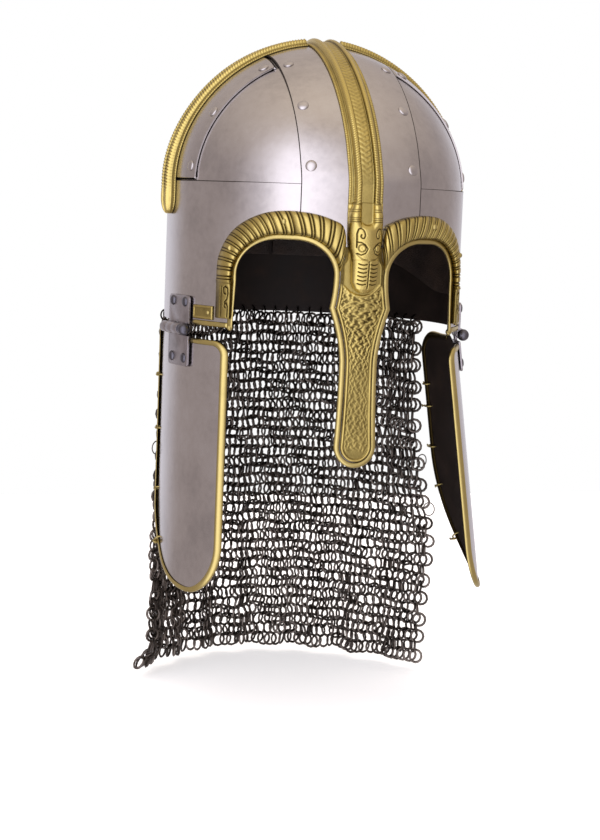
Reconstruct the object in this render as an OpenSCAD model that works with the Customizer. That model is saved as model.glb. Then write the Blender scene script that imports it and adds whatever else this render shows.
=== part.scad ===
// Spangen helmet with nasal, hinged cheek pieces and a mail curtain.
// Millimetres. +Z is up, the nasal looks along -Y, the wearer's left is +X.
// The origin is the centre of the brow band's rim.

/* [Skull] */
// Outside length of the brow band, nose to nape
skull_length = 240; // [226:1:254]
// Outside width of the brow band
skull_width = 208; // [196:1:220]
// Height of the brow band above the rim
brow_height = 97; // [92:1:102]
// Height of the steel skull's top above the rim
skull_height = 195.5; // [186:0.5:206]
// Thickness of the steel plates
plate = 1.2; // [1:0.1:1.6]
// Width of the two bands that cross the crown
band_width = 83; // [74:1:90]
// How far a plate reaches under the one that covers it
lap = 10; // [8:0.5:12]

/* [Eyes and nasal] */
// Height of the eye openings above the rim
eye_top = 61; // [56:0.5:66]
// Distance from the middle to the outer jamb of an eye opening
eye_outer = 78; // [74:0.5:80]
// Half width of the nasal at its root, between the eyes
nasal_root = 17.9; // [16:0.1:20]
// Half width of the nasal at its widest, beside the nose
nasal_waist = 20.1; // [18.5:0.1:22]
// Half width of the nasal at its narrowest
nasal_neck = 12.1; // [11:0.1:13.5]
// Radius of the nasal's round end
nasal_end = 13.7; // [12:0.1:15]
// Depth of the nasal's tip below the rim
nasal_drop = 88.2; // [80:0.2:96]

/* [Brass] */
// Width of the crest strips
crest_width = 23.6; // [20:0.2:27]
// Height of a crest strip's ridges at its lower end
crest_ridge = 6.3; // [5:0.1:7]
// Height of a crest strip's ridges over the crown
crest_crown = 4.8; // [3.4:0.1:5]
// Depth that an edge binding covers
binding_depth = 2.7; // [2:0.1:3.4]
// Wall of an edge binding
binding_wall = 0.7; // [0.5:0.05:0.9]
// Width of the eyebrow at the top of the eye
eyebrow_width = 14.4; // [12:0.2:16]
// Height of the eyebrow above the skull
eyebrow_rise = 6.6; // [5:0.1:8]

/* [Cheek pieces] */
// Depth of the cheek piece's top edge below the rim
cheek_top = 11; // [10:0.5:14]
// Length of the cheek piece
cheek_length = 175; // [160:1:190]
// Swing of the left cheek piece as it hangs, away from the face
cheek_swing_left = 8; // [0:0.5:12]
// Swing of the right cheek piece as it hangs, away from the face
cheek_swing_right = 0; // [0:0.5:12]

/* [Hinges] */
// Width of the hinge leaves
leaf_width = 32; // [28:1:36]
// Height of the upper leaf above the rim
leaf_rise = 18.3; // [16:0.1:22]
// Thickness of the hinge leaves
leaf = 1.4; // [1.2:0.1:1.8]
// Outside radius of the hinge knuckles
knuckle = 3.8; // [3.4:0.1:4.2]
// Radius of the hinge pin
pin = 1.6; // [1.3:0.05:2]
// Radius of the ball on the pin's front end
pin_ball = 4.2; // [3.6:0.1:4.6]

/* [Mail] */
// Depth of the curtain's lower edge below the rim
mail_drop = 268; // [240:1:290]
// Thickness that the woven rings take up
mail_thickness = 3.2; // [2.6:0.1:4]
// Mean radius of a hanger ring
hanger_ring = 4.4; // [4:0.1:5]
// Radius of the ring wire
ring_wire = 0.6; // [0.5:0.05:0.8]

/* [Hidden] */

steel = [0.62, 0.61, 0.61];
brass = [0.76, 0.63, 0.32];
dark_steel = [0.33, 0.32, 0.33];
leather = [0.2, 0.13, 0.09];

half_l = skull_length/2;
half_w = skull_width/2;
band_half = band_width/2;
// Play between two pieces that lie on each other
seat = 0.3;
// Fullness of the skull's outline seen from the side and from the front
side_view_power = 1.67;
front_view_power = 1.92;
// Facets round the brow band
brow_facets = 144;
// Depth of a facet's middle below the true surface
facet = 0.2;
// Where the bands step over the brow band's upper edge, in degrees above the seam
step_from = 0.7;
step_over = 1.7;

// Skull surface

// Share of the rim's plan that is left at height z for plan angle t, on the surface moved out by d
function taper(t, z, d) = let(
    h = max(0, z - brow_height)/(skull_height + d - brow_height),
    m = side_view_power*pow(cos(t), 2) + front_view_power*pow(sin(t), 2))
    h >= 1 ? 0 : pow(1 - pow(h, m), 1/m);
// Point of the skull at plan angle t (0 nose, 90 wearer's left) and height z
function skin(t, z, d = 0) = let(r = taper(t, z, d))
    [(half_w + d)*r*sin(t), -(half_l + d)*r*cos(t), z];
// Height of the skull above plan point x, y
function skin_height(x, y, d = 0) = let(
    sx = pow(x/(half_w + d), 2), sy = pow(y/(half_l + d), 2),
    m = (side_view_power*sy + front_view_power*sx)/(sx + sy))
    brow_height + (skull_height + d - brow_height)*pow(1 - pow(sx + sy, m/2), 1/m);
// Plan angle where the skull at height z reaches x, or y
function angle_at_x(x, z, d, lo = 0, hi = 90, n = 24) = let(mid = (lo + hi)/2)
    n == 0 ? mid : skin(mid, z, d)[0] > x ? angle_at_x(x, z, d, lo, mid, n - 1)
    : angle_at_x(x, z, d, mid, hi, n - 1);
function angle_at_y(y, z, d, lo = 0, hi = 90, n = 24) = let(mid = (lo + hi)/2)
    n == 0 ? mid : -skin(mid, z, d)[1] > y ? angle_at_y(y, z, d, mid, hi, n - 1)
    : angle_at_y(y, z, d, lo, mid, n - 1);

// Distance from the centre of the spring plane to the surface, along v
function reach(v, d) = let(
    sx = pow(v[0]/(half_w + d), 2), sy = pow(v[1]/(half_l + d), 2),
    sz = max(v[2], 0)/(skull_height + d - brow_height),
    m = sx + sy == 0 ? 2 : (side_view_power*sy + front_view_power*sx)/(sx + sy))
    1/pow(pow(sx + sy, m/2) + pow(sz, m), 1/m);
function settle(v, across, off, d, n) = n == 0 ? reach(v, d)
    : reach(v + across*off/settle(v, across, off, d, n - 1), d);
// Point on the upright wall below the spring plane
function wall(z, off, along, across, d) = let(
    r_along = abs(along[0])*(half_w + d) + abs(along[1])*(half_l + d),
    r_across = abs(across[0])*(half_w + d) + abs(across[1])*(half_l + d))
    along*r_along*sqrt(1 - pow(off/r_across, 2)) + across*off + [0, 0, z];
// Point of a strip over the crown. Station s is an angle from 0 to 180 over the crown,
// and a distance below the spring plane outside that. off is the distance from the middle.
function over(s, off, along, across, d) =
    s <= 0 ? wall(brow_height + s, off, along, across, d)
    : s >= 180 ? wall(brow_height + 180 - s, off, -along, across, d)
    : let(v = along*cos(s) + [0, 0, sin(s)], k = settle(v, across, off, d, 6))
        [0, 0, brow_height] + k*v + across*off;
// Point on the wall from its x (front) or its y (side)
function front_point(x, z, d) = wall(z, x, [0, -1, 0], [1, 0, 0], d);
function side_point(y, z, d) = wall(z, y, [1, 0, 0], [0, 1, 0], d);
// Length on the wall for each millimetre of x (front) or y (side)
function front_stretch(x) = let(c = sqrt(1 - pow(x/half_w, 2)))
    sqrt(1 + pow(half_l/half_w*x/half_w/c, 2));
function side_stretch(y) = let(c = sqrt(1 - pow(y/half_l, 2)))
    sqrt(1 + pow(half_w/half_l*y/half_l/c, 2));
function unit(v) = v/norm(v);
function blend(a, b, u) = let(k = min(1, max(0, u))) a + (b - a)*k*k*(3 - 2*k);

// Solids from rows of points

// Closed plate between an outer and an inner grid of points
module shell(outer, inner) {
    rows = len(outer);
    cols = len(outer[0]);
    n = rows*cols;
    function id(i, j) = i*cols + j;
    quads = concat(
        [for (i = [0:rows - 2], j = [0:cols - 2]) [id(i, j), id(i + 1, j), id(i + 1, j + 1), id(i, j + 1)]],
        [for (i = [0:rows - 2], j = [0:cols - 2])
            [n + id(i, j), n + id(i, j + 1), n + id(i + 1, j + 1), n + id(i + 1, j)]],
        [for (i = [0:rows - 2]) each [
            [id(i, 0), n + id(i, 0), n + id(i + 1, 0), id(i + 1, 0)],
            [id(i + 1, cols - 1), n + id(i + 1, cols - 1), n + id(i, cols - 1), id(i, cols - 1)]]],
        [for (j = [0:cols - 2]) each [
            [id(0, j + 1), n + id(0, j + 1), n + id(0, j), id(0, j)],
            [id(rows - 1, j), n + id(rows - 1, j), n + id(rows - 1, j + 1), id(rows - 1, j + 1)]]]);
    polyhedron(concat([for (r = outer) each r], [for (r = inner) each r]),
        [for (q = quads) each [[q[0], q[1], q[2]], [q[0], q[2], q[3]]]], convexity = 8);
}

// Closed bar through a row of sections
module bar(sections) {
    n = len(sections[0]);
    last = len(sections) - 1;
    quads = [for (i = [0:last - 1], j = [0:n - 1]) let(k = (j + 1)%n)
        [i*n + j, (i + 1)*n + j, (i + 1)*n + k, i*n + k]];
    polyhedron([for (s = sections) each s], concat(
        [for (q = quads) each [[q[0], q[1], q[2]], [q[0], q[2], q[3]]]],
        [[for (j = [0:n - 1]) j], [for (j = [n - 1:-1:0]) last*n + j]]), convexity = 8);
}

// Puts a child, built on +Z, at point p with its axis along v
module stand(p, v) {
    u = unit(v);
    translate(p) rotate([0, acos(u[2]), atan2(u[1], u[0])]) children();
}

// Low domed rivet head, hammered in three slopes
module rivet_head(r, h) rotate_extrude($fn = 48)
    polygon([[0, 0], [r, 0], [0.87*r, 0.4*h], [0.5*r, 0.85*h], [0, h]]);

// Outlines

// Ellipse of the wall, moved out by d, from angle a to b
function plan(d, a = 0, b = 360, n = brow_facets) =
    [for (i = [0:n - (b - a == 360 ? 1 : 0)]) let(t = a + (b - a)*i/n)
        [(half_w + d)*sin(t), -(half_l + d)*cos(t)]];

// Eye opening: an upright outer jamb, an arch with unlike shoulders, and the side of the nasal
eye_outer_centre = [eye_outer - 25.5, eye_top - 27];
eye_outer_shoulder = [25.5, 27];
eye_inner_shoulder = [26.1, 23];
eye_inner_centre = [nasal_root + eye_inner_shoulder[0], eye_top - eye_inner_shoulder[1]];
eye_outer_arc = [for (a = [0:9:90])
    eye_outer_centre + [eye_outer_shoulder[0]*cos(a), eye_outer_shoulder[1]*sin(a)]];
eye_inner_arc = [for (a = [90:-9:0])
    eye_inner_centre + [-eye_inner_shoulder[0]*cos(a), eye_inner_shoulder[1]*sin(a)]];
nasal_waist_z = 16.8;
nasal_neck_z = -21;
nasal_end_z = nasal_end - nasal_drop;
// Half width of the nasal at height z, below the arch
function nasal_half(z) =
    z > nasal_waist_z ? nasal_root + (nasal_waist - nasal_root)
        *pow((eye_inner_centre[1] - z)/(eye_inner_centre[1] - nasal_waist_z), 2)
    : z > nasal_neck_z ? nasal_neck + (nasal_waist - nasal_neck)
        *pow((z - nasal_neck_z)/(nasal_waist_z - nasal_neck_z), 1.8)
    : z > nasal_end_z ? nasal_neck + (nasal_end - nasal_neck)
        *pow((nasal_neck_z - z)/(nasal_neck_z - nasal_end_z), 2)
    : sqrt(max(0, pow(nasal_end, 2) - pow(z - nasal_end_z, 2)));
nasal_heights = [30, 23, nasal_waist_z, 10, 2, -8, nasal_neck_z, -38, -56, nasal_end_z];
nasal_side = [for (z = nasal_heights) [nasal_half(z), z]];
nasal_tip = [for (a = [18:18:90]) [nasal_end*cos(a), nasal_end_z - nasal_end*sin(a)]];

// Levels, as distances outside the brow band's own surface
infill_out = -plate - seat - facet;
tongue_out = infill_out;
// Inner face of the nose-to-nape band: on the brow band below the seam, on the infill above it
function long_band_in(s) = blend(seat, -plate, (min(s, 180 - s) - step_from)/step_over);
function long_band_out(s) = long_band_in(s) + plate;
// Outer face of a lateral band: level over the infill, a step lower under brow band and crown band
function side_band_out(s) = blend(tongue_out, 0, (s - step_from)/step_over);

// Steel skull

module brow_band() color(steel) difference() {
    linear_extrude(brow_height) difference() {
        polygon(plan(0));
        polygon(plan(-plate));
    }
    // Eye openings, open to the rim
    for (side = [0, 1]) mirror([side, 0, 0])
        rotate([90, 0, 0]) linear_extrude(half_l + 10) polygon(concat(
            [[eye_outer, -1]], eye_outer_arc, [[0, eye_top]], [[0, -1]]));
    // Room between the two front ends, which the nose-to-nape band covers
    translate([lap - band_half, -half_l - 10, eye_top - 1])
        cube([band_width - 2*lap, 60, brow_height]);
    // Holes for the mail hangers
    for (t = hanger_angles) hanger_hole(t);
}

// Height of the nose-to-nape band's rear end above the rim
nape_end = 11;
// Half width of the nose-to-nape band with the nasal, from its tip to its end at the nape
long_band_rows = concat(
    [for (a = [84, 72, 54, 36, 18]) [nasal_end_z - nasal_end*sin(a) - brow_height, nasal_end*cos(a)]],
    [for (i = [len(nasal_side) - 1:-1:0]) [nasal_side[i][1] - brow_height, nasal_side[i][0]]],
    [for (a = [0:12:84]) [eye_inner_centre[1] + eye_inner_shoulder[1]*sin(a) - brow_height,
        min(band_half, eye_inner_centre[0] - eye_inner_shoulder[0]*cos(a))]],
    [for (s = [eye_top - brow_height, -18, 0, step_from, step_from + step_over/2, step_from + step_over])
        [s, band_half]],
    [for (s = [7.5:7.5:172.5]) [s, band_half]],
    [for (s = [step_from + step_over, step_from + step_over/2, step_from, 0, -40, nape_end - brow_height])
        [180 - s, band_half]]);

module nose_to_nape_band() color(steel) shell(
    [for (r = long_band_rows) [for (j = [-3:3]) over(r[0], r[1]*j/3, [0, -1, 0], [1, 0, 0],
        long_band_out(r[0]))]],
    [for (r = long_band_rows) [for (j = [-3:3]) over(r[0], r[1]*j/3, [0, -1, 0], [1, 0, 0],
        long_band_in(r[0]))]]);

side_crown = atan2(skin_height(band_half + 16, 0) - brow_height, band_half + 16);
side_band_rows = concat([-lap, 0, step_from, step_from + step_over/2, step_from + step_over],
    [for (i = [1:8]) 3 + (side_crown - 3)*i/8]);
// Rows of the crown end: distance from the middle, and level
side_tongue_rows = [[band_half + 7, 0], [band_half + 4, 0], [band_half + 2.6, tongue_out/2],
    [band_half + 1.2, tongue_out], [band_half - lap/2, tongue_out], [band_half - lap, tongue_out]];
function side_band_grid(d) = concat(
    [for (s = side_band_rows) [for (j = [-3:3])
        over(s, band_half*j/3, [1, 0, 0], [0, 1, 0], side_band_out(s) + d)]],
    [for (r = side_tongue_rows) [for (j = [-3:3])
        [r[0], band_half*j/3, skin_height(r[0], band_half*j/3, r[1] + d)]]]);
module lateral_band(side) color(steel) mirror([side < 0 ? 1 : 0, 0, 0])
    shell(side_band_grid(0), side_band_grid(-plate));
module lateral_band_left() lateral_band(1);
module lateral_band_right() lateral_band(-1);

// Infill plate: it laps under both bands and the brow band, and stands back from the bands' tongues
infill_clear = 0.4;
infill_crown = skin_height(band_half + 5.5, band_half, infill_out);
infill_top = skin_height(band_half - lap, band_half + infill_clear, infill_out) - 0.6;
infill_low = brow_height + 7;
infill_rows = concat([brow_height - lap, brow_height, infill_low - 2, infill_low],
    [for (i = [1:7]) infill_low + (infill_crown - 1 - infill_low)*i/7],
    [infill_crown + 0.8, (infill_crown + infill_top)/2, infill_top]);
function infill_side(z) = z > infill_crown - 0.5 || z < infill_low - 1
    ? band_half + infill_clear : band_half - lap;
module infill(side, rear) color(steel)
    mirror([side < 0 ? 1 : 0, 0, 0]) mirror([0, rear ? 1 : 0, 0]) {
        cols = 8;
        grid = [for (z = infill_rows) let(
            a = angle_at_x(band_half - lap, z, infill_out), b = angle_at_y(infill_side(z), z, infill_out))
            [for (j = [0:cols]) a + (b - a)*j/cols]];
        shell([for (i = [0:len(infill_rows) - 1]) [for (t = grid[i]) skin(t, infill_rows[i], infill_out)]],
            [for (i = [0:len(infill_rows) - 1]) [for (t = grid[i]) infill_inner(t, infill_rows[i])]]);
    }
// Inner face, one plate's thickness under the outer one along the surface normal
function infill_inner(t, z) = let(
    p = skin(t, z, infill_out),
    n = unit(cross(skin(t + 0.5, z, infill_out) - skin(t - 0.5, z, infill_out),
        skin(t, z + 0.3, infill_out) - skin(t, z - 0.3, infill_out))))
    p - n*plate;
module infill_front_left() infill(1, false);
module infill_front_right() infill(-1, false);
module infill_rear_left() infill(1, true);
module infill_rear_right() infill(-1, true);

// Brass

// Section of a crest strip: flanges, two ridges and a low crowned field
crest_half = crest_width/2;
ridge_half = crest_width*0.087;
ridge_at = crest_width*0.282;
crest_flange = 0.8;
// Distance from the middle and height share, from the edge of the flange to the middle of the field
crest_side = [[crest_half, 0], [ridge_at + ridge_half, 0],
    [ridge_at + ridge_half*0.85, 0.38], [ridge_at + ridge_half*0.55, 0.74], [ridge_at, 1],
    [ridge_at - ridge_half*0.65, 1], [ridge_at - ridge_half, 0.54]];
crest_profile = concat([for (p = crest_side) [-p[0]/crest_half, p[1]]], [[0, 0.57]],
    [for (i = [len(crest_side) - 1:-1:0]) [crest_side[i][0]/crest_half, crest_side[i][1]]]);
crest_foot = [[1, 0], [0, 0], [-1, 0]];
// Height of the ridges at station s
function crest_rise(s) = blend(crest_ridge, crest_crown, min(s, 180 - s)/36);
// Section at station s with width share w, standing on level d
function crest_section(s, w, along, across, d) = concat(
    [for (p = crest_profile) over(s, p[0]*crest_half*w, along, across,
        d + max(crest_flange, p[1]*crest_rise(s))*(0.4 + 0.6*w))],
    [for (p = crest_foot) over(s, p[0]*crest_half*w, along, across, d)]);
// Width shares of a rounded end, and how far each section lies from the end
crest_end = [for (a = [8, 25, 45, 68, 90]) [crest_half*(1 - cos(a)), sin(a)]];

crest_start = 86;
crest_stop = 24;
side_crest_end = 73.5;
module crest_long() color(brass) {
    front = crest_start - brow_height;
    stop = 180 + brow_height - crest_stop;
    bar([for (r = concat([for (s = [front, 0, step_from, step_from + step_over]) [s, 1]],
        [for (s = [7.5:7.5:172.5]) [s, 1]],
        [for (s = [step_from + step_over, step_from, 0, -30]) [180 - s, 1]],
        [for (i = [len(crest_end) - 1:-1:0]) [stop - crest_end[i][0], crest_end[i][1]]]))
        crest_section(r[0], r[1], [0, -1, 0], [1, 0, 0], long_band_out(r[0]) + seat)]);
}
module side_crest(side) color(brass) mirror([side < 0 ? 1 : 0, 0, 0]) {
    stop = atan2(skull_height - brow_height, crest_half + 0.6);
    bar([for (r = concat([for (e = crest_end) [side_crest_end - brow_height + e[0], e[1]]],
        [[0, 1]], [for (i = [1:14]) [stop*i/14, 1]]))
        crest_section(r[0], r[1], [1, 0, 0], [0, 1, 0], seat)]);
}
module crest_left() side_crest(1);
module crest_right() side_crest(-1);

// Beast head over the nasal's root: height, half width and rise of each section
head_sections = [[27.5, 3, 3.4], [31, 6.4, 5.6], [36, 7.8, 7.2], [46, 8, 8.6], [52.5, 8.8, 9.4],
    [56, 11, 9.8], [63, 11.6, 9.6], [72, 11.8, 8.6], [80, 11.9, 7.4], [crest_start - 0.3, 11.8, 6.6]];
// The snout lies on the nasal's panel, and the rest on the band
head_level = 49;
function head_section(h) = let(d = plate + 2*seat, foot = h[0] < head_level ? panel_top + seat : d)
    concat([for (a = [0:22.5:180]) front_point(-h[1]*cos(a), h[0],
            max(foot, d + 0.5) + (h[2] - 0.5)*pow(sin(a), 0.7))],
        [for (k = [0.75, 0, -0.75]) front_point(k*h[1], h[0], foot)]);
module beast_head() color(brass) bar([for (h = head_sections) head_section(h)]);

// Brass panel on the nasal, inside its binding
panel_thickness = 0.8;
panel_top = plate + 2*seat + panel_thickness;
panel_inset = binding_depth + 0.3;
panel_rows = concat(
    [for (a = [80, 60, 40, 20]) [nasal_end_z - (nasal_end - panel_inset)*sin(a),
        (nasal_end - panel_inset)*cos(a)]],
    [for (i = [len(nasal_heights) - 1:-1:0]) [nasal_heights[i], nasal_half(nasal_heights[i]) - panel_inset]],
    [[eye_inner_centre[1], nasal_root - panel_inset], [46, nasal_root - panel_inset]]);
module nasal_panel() color(brass) shell(
    [for (r = panel_rows) [for (j = [-2:2]) front_point(r[1]*j/2, r[0], plate + 2*seat + panel_thickness)]],
    [for (r = panel_rows) [for (j = [-2:2]) front_point(r[1]*j/2, r[0], plate + 2*seat)]]);

// Eyebrow: middle line in x and z, half width and rise, from its lower outer end to the nasal's root.
// Its inner edge follows the binding of the eye opening.
brow_gap = binding_depth + 0.5;
brow_foot = 10.6;
brow_root = 17.2;
function brow_jamb(w) = eye_outer + (brow_gap + w/2)/front_stretch(eye_outer + 3);
function brow_outer(a) = let(w = brow_foot + 0.6 + (eyebrow_width - brow_foot - 0.6)*sin(a),
    d = brow_gap + w/2, k = front_stretch(eye_outer_centre[0] + eye_outer_shoulder[0]*cos(a) + 3))
    [eye_outer_centre[0] + (eye_outer_shoulder[0] + d/k)*cos(a),
        eye_outer_centre[1] + (eye_outer_shoulder[1] + d)*sin(a), w/2, 5 + (eyebrow_rise - 5)*sin(a)];
function brow_inner(a) = let(w = eyebrow_width + (brow_root - eyebrow_width)*sin(a)/sin(44), d = brow_gap + w/2)
    [eye_inner_centre[0] - (eye_inner_shoulder[0] + d)*sin(a),
        eye_inner_centre[1] + (eye_inner_shoulder[1] + d)*cos(a), w/2, eyebrow_rise + a/60];
eyebrow_path = concat(
    [for (p = [[5.6, 0.84, 2.8], [7, 0.98, 3.9], [18, 1, 4.2], [28, 1, 4.6], [30.5, 1.04, 5.2]])
        [brow_jamb(brow_foot), p[0], p[1]*brow_foot/2, p[2]]],
    [for (a = [0:15:75]) brow_outer(a)],
    [for (a = [0:7.5:37.5]) brow_inner(a)],
    [[16.9, 59.8, 4.2, eyebrow_rise - 0.6], [15.2, 53.5, 1.9, 4]]);
// Level that the eyebrow lies on: the nose-to-nape band near the nose, the brow band outside it
function brow_seat(x) = blend(plate + 2*seat, seat, (abs(x) - band_half - 2)/5);
function eyebrow_section(path, i) = let(
    p = path[i], q0 = path[max(0, i - 1)], q1 = path[min(len(path) - 1, i + 1)],
    k = front_stretch(p[0]), run = unit([(q1[0] - q0[0])*k, q1[1] - q0[1]]),
    out = [run[1]/k, -run[0]], base = brow_seat(p[0]))
    concat([for (a = [0:30:180]) let(o = -p[2]*cos(a))
        front_point(p[0] + out[0]*o, p[1] + out[1]*o, base + 0.3 + (p[3] - 0.3)*sin(a))],
        [for (o = [p[2], 0, -p[2]]) front_point(p[0] + out[0]*o, p[1] + out[1]*o, base)]);
module eyebrow(side) color(brass) mirror([side < 0 ? 1 : 0, 0, 0])
    bar([for (i = [0:len(eyebrow_path) - 1]) eyebrow_section(eyebrow_path, i)]);
module eyebrow_left() eyebrow(1);
module eyebrow_right() eyebrow(-1);

// Binding of the eyes and nasal, along the steel edge: one U-channel from rim to rim
binding_play = 0.22;
eye_path_half = concat(
    [[eye_outer, -0.9], [eye_outer, eye_top*0.2], [eye_outer, eye_top*0.4]], eye_outer_arc,
    [for (i = [1:len(eye_inner_arc) - 1]) eye_inner_arc[i]],
    nasal_side, [for (i = [0:len(nasal_tip) - 2]) nasal_tip[i]]);
eye_path = concat(eye_path_half, [[0, nasal_end_z - nasal_end]],
    [for (i = [len(eye_path_half) - 1:-1:0]) [-eye_path_half[i][0], eye_path_half[i][1]]]);
// Faces of the steel that the channel holds at distance x from the middle
function steel_in(x) = abs(x) < band_half - lap - 1 ? seat : -plate;
function steel_out(x) = abs(x) < band_half + 1 ? plate + seat : 0;
function channel_outer(lo, hi) = let(w = binding_wall, e = binding_play + w)
    [[-binding_depth, hi + w*0.8], [-0.6, hi + w + 0.25], [e, (lo + hi)/2], [-0.6, lo - w - 0.25],
        [-binding_depth, lo - w*0.8]];
function channel_inner(lo, hi) = let(e = binding_play)
    [[-binding_depth, hi], [e, hi], [e, (lo + hi)/2], [e, lo], [-binding_depth, lo]];
// One row of the channel's grid at path point i: e runs away from the steel, d runs outward
function eye_row(i, profile) = let(
    p = eye_path[i], q0 = eye_path[max(0, i - 1)], q1 = eye_path[min(len(eye_path) - 1, i + 1)],
    k = front_stretch(p[0]), run = unit([(q1[0] - q0[0])*k, q1[1] - q0[1]]), out = [-run[1]/k, run[0]])
    [for (c = profile) front_point(p[0] + out[0]*c[0], p[1] + out[1]*c[0], c[1])];
module eye_binding() color(brass) {
    lo = [for (p = eye_path) steel_in(p[0]) - binding_play];
    hi = [for (p = eye_path) steel_out(p[0]) + binding_play];
    shell([for (i = [len(eye_path) - 1:-1:0]) eye_row(i, channel_outer(lo[i], hi[i]))],
        [for (i = [len(eye_path) - 1:-1:0]) eye_row(i, channel_inner(lo[i], hi[i]))]);
}

// Plan angle where the hinge touches the wall
hinge_at = 76;
// Binding on the rim between the eye opening and the hinge
rim_from = asin(eye_outer/half_w) + 3.2;
rim_to = hinge_at - (leaf_width/2 + 3.2)/(half_l*PI/180);
function rim_row(t, profile) = [for (c = profile) skin(t, -c[0], c[1])];
module rim_binding(side) color(brass) mirror([side < 0 ? 1 : 0, 0, 0]) {
    lo = -plate - binding_play;
    hi = binding_play;
    ts = [for (i = [0:5]) rim_from + (rim_to - rim_from)*i/5];
    shell([for (t = ts) rim_row(t, channel_outer(lo, hi))], [for (t = ts) rim_row(t, channel_inner(lo, hi))]);
}
module rim_binding_left() rim_binding(1);
module rim_binding_right() rim_binding(-1);

// Short strip between the eyebrow's foot and the hinge
strip_low = 3.6;
strip_high = 13;
strip_thickness = 0.9;
module rim_strip(side) color(brass) mirror([side < 0 ? 1 : 0, 0, 0]) {
    ts = [for (i = [0:4]) strip_from + (rim_to - strip_from)*i/4];
    shell([for (t = ts) [for (z = [strip_high, strip_low]) skin(t, z, seat + strip_thickness)]],
        [for (t = ts) [for (z = [strip_high, strip_low]) skin(t, z, seat)]]);
}
strip_from = asin((brow_jamb(brow_foot) + brow_foot/2/front_stretch(brow_jamb(brow_foot)))/half_w) + 0.9;
module rim_strip_left() rim_strip(1);
module rim_strip_right() rim_strip(-1);

// Rivets

rivet_r = 3.6;
rivet_h = 1;
rivet_stations = [6, 31, 61];
rivet_edge = 6.4;
// Outward direction of a strip's surface
function over_normal(s, off, along, across, d) = unit(cross(
    over(s, off + 1, along, across, d) - over(s, off - 1, along, across, d),
    over(s + 1, off, along, across, d) - over(s - 1, off, along, across, d)));
module strip_rivet(s, off, along, across) {
    n = over_normal(s, off, along, across, 0);
    p = over(s, off, along, across, 0);
    out = n*sign(n*p);
    stand(p + out*seat/2, out) rivet_head(rivet_r, rivet_h);
}
module skull_rivets() color(steel) {
    off = band_half - rivet_edge;
    for (s = rivet_stations, end = [0, 1], side = [-1, 1])
        strip_rivet(end == 0 ? s : 180 - s, side*off, [0, -1, 0], [1, 0, 0]);
    for (s = rivet_stations, side = [-1, 1], end = [-1, 1])
        strip_rivet(s*0.94, end*off, [side, 0, 0], [0, 1, 0]);
}

// Brass rivets of the rim strips
module brass_rivets() color(brass) for (side = [-1, 1]) {
    t = strip_from + 0.24*(rim_to - strip_from);
    p = skin(side*t, (strip_low + strip_high)/2, seat + strip_thickness + 0.05);
    n = skin(side*t, 0, 1) - skin(side*t, 0, 0);
    stand(p, n) rivet_head(1.5, 0.7);
}

// Hinges

// Height of the pin and its distance from the wall
pin_z = -knuckle - 0.8;
pin_out = knuckle + 0.3;
leaf_in = 0.3;
pin_play = 0.05;
knuckle_gap = 0.2;
// Ends of the knuckles along the pin, from the rear to the front
knuckle_rear = -18;
knuckle_front = 9;
lower_rear = -9;
lower_front = 0;
hinge_foot = skin(hinge_at, 0, 0);
hinge_turn = atan2(-half_l*sin(hinge_at), -half_w*cos(hinge_at));
// Hinge frame of one side: X runs to the front along the pin, Y outward, Z up
module at_hinge(side) mirror([side < 0 ? 1 : 0, 0, 0]) translate(hinge_foot) rotate([0, 0, hinge_turn])
    children();
// The cheek body hangs from the pin, swung out by its own angle
module swung(side) {
    swing = side > 0 ? cheek_swing_left : cheek_swing_right;
    mirror([side < 0 ? 1 : 0, 0, 0]) translate(hinge_foot) rotate([0, 0, hinge_turn])
        translate([0, pin_out, pin_z]) rotate([swing, 0, 0]) translate([0, -pin_out, -pin_z])
        rotate([0, 0, -hinge_turn]) translate(-hinge_foot) children();
}
module tube_x(from, to, r) translate([from, pin_out, pin_z]) rotate([0, 90, 0])
    cylinder(h = to - from, r = r, $fn = 48);
// Leaf outline with two rounded corners away from the pin
module leaf_plate(low, high, round_at) {
    r = 3.2;
    rotate([90, 0, 0]) translate([0, 0, -leaf_in - leaf]) linear_extrude(leaf) {
        flat_low = round_at > 0 ? low : low + r;
        flat_high = round_at > 0 ? high - r : high;
        translate([-leaf_width/2, flat_low]) square([leaf_width, flat_high - flat_low]);
        translate([-leaf_width/2 + r, low]) square([leaf_width - 2*r, high - low]);
        for (side = [-1, 1]) translate([side*(leaf_width/2 - r), round_at > 0 ? high - r : low + r])
            circle(r, $fn = 48);
    }
}
// Strip that joins a leaf to its knuckle
module leaf_root(from, to, low, high) translate([from, leaf_in, low]) cube([to - from, leaf, high - low]);

leaf_rivet_x = 9.8;
leaf_rivet_up = 14.1;
leaf_rivet_down = -24.6;
lower_leaf_low = -30.4;
lower_leaf_high = pin_z - knuckle - 0.7;
module hinge_upper(side) color(dark_steel) at_hinge(side) difference() {
    union() {
        leaf_plate(-0.6, leaf_rise, 1);
        for (k = [[knuckle_rear, lower_rear - knuckle_gap], [lower_front + knuckle_gap, knuckle_front]]) {
            tube_x(k[0], k[1], knuckle);
            leaf_root(max(k[0], -leaf_width/2), k[1], pin_z, 0);
        }
    }
    tube_x(knuckle_rear - 1, knuckle_front + 1, pin + pin_play);
}
module hinge_upper_left() hinge_upper(1);
module hinge_upper_right() hinge_upper(-1);

module hinge_lower(side) color(dark_steel) swung(side) translate(hinge_foot) rotate([0, 0, hinge_turn])
    difference() {
        union() {
            leaf_plate(lower_leaf_low, lower_leaf_high, -1);
            tube_x(lower_rear, lower_front, knuckle);
            leaf_root(lower_rear, lower_front, lower_leaf_high - 1, pin_z);
        }
        tube_x(lower_rear - 1, lower_front + 1, pin + pin_play);
    }
module hinge_lower_left() hinge_lower(1);
module hinge_lower_right() hinge_lower(-1);

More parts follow.
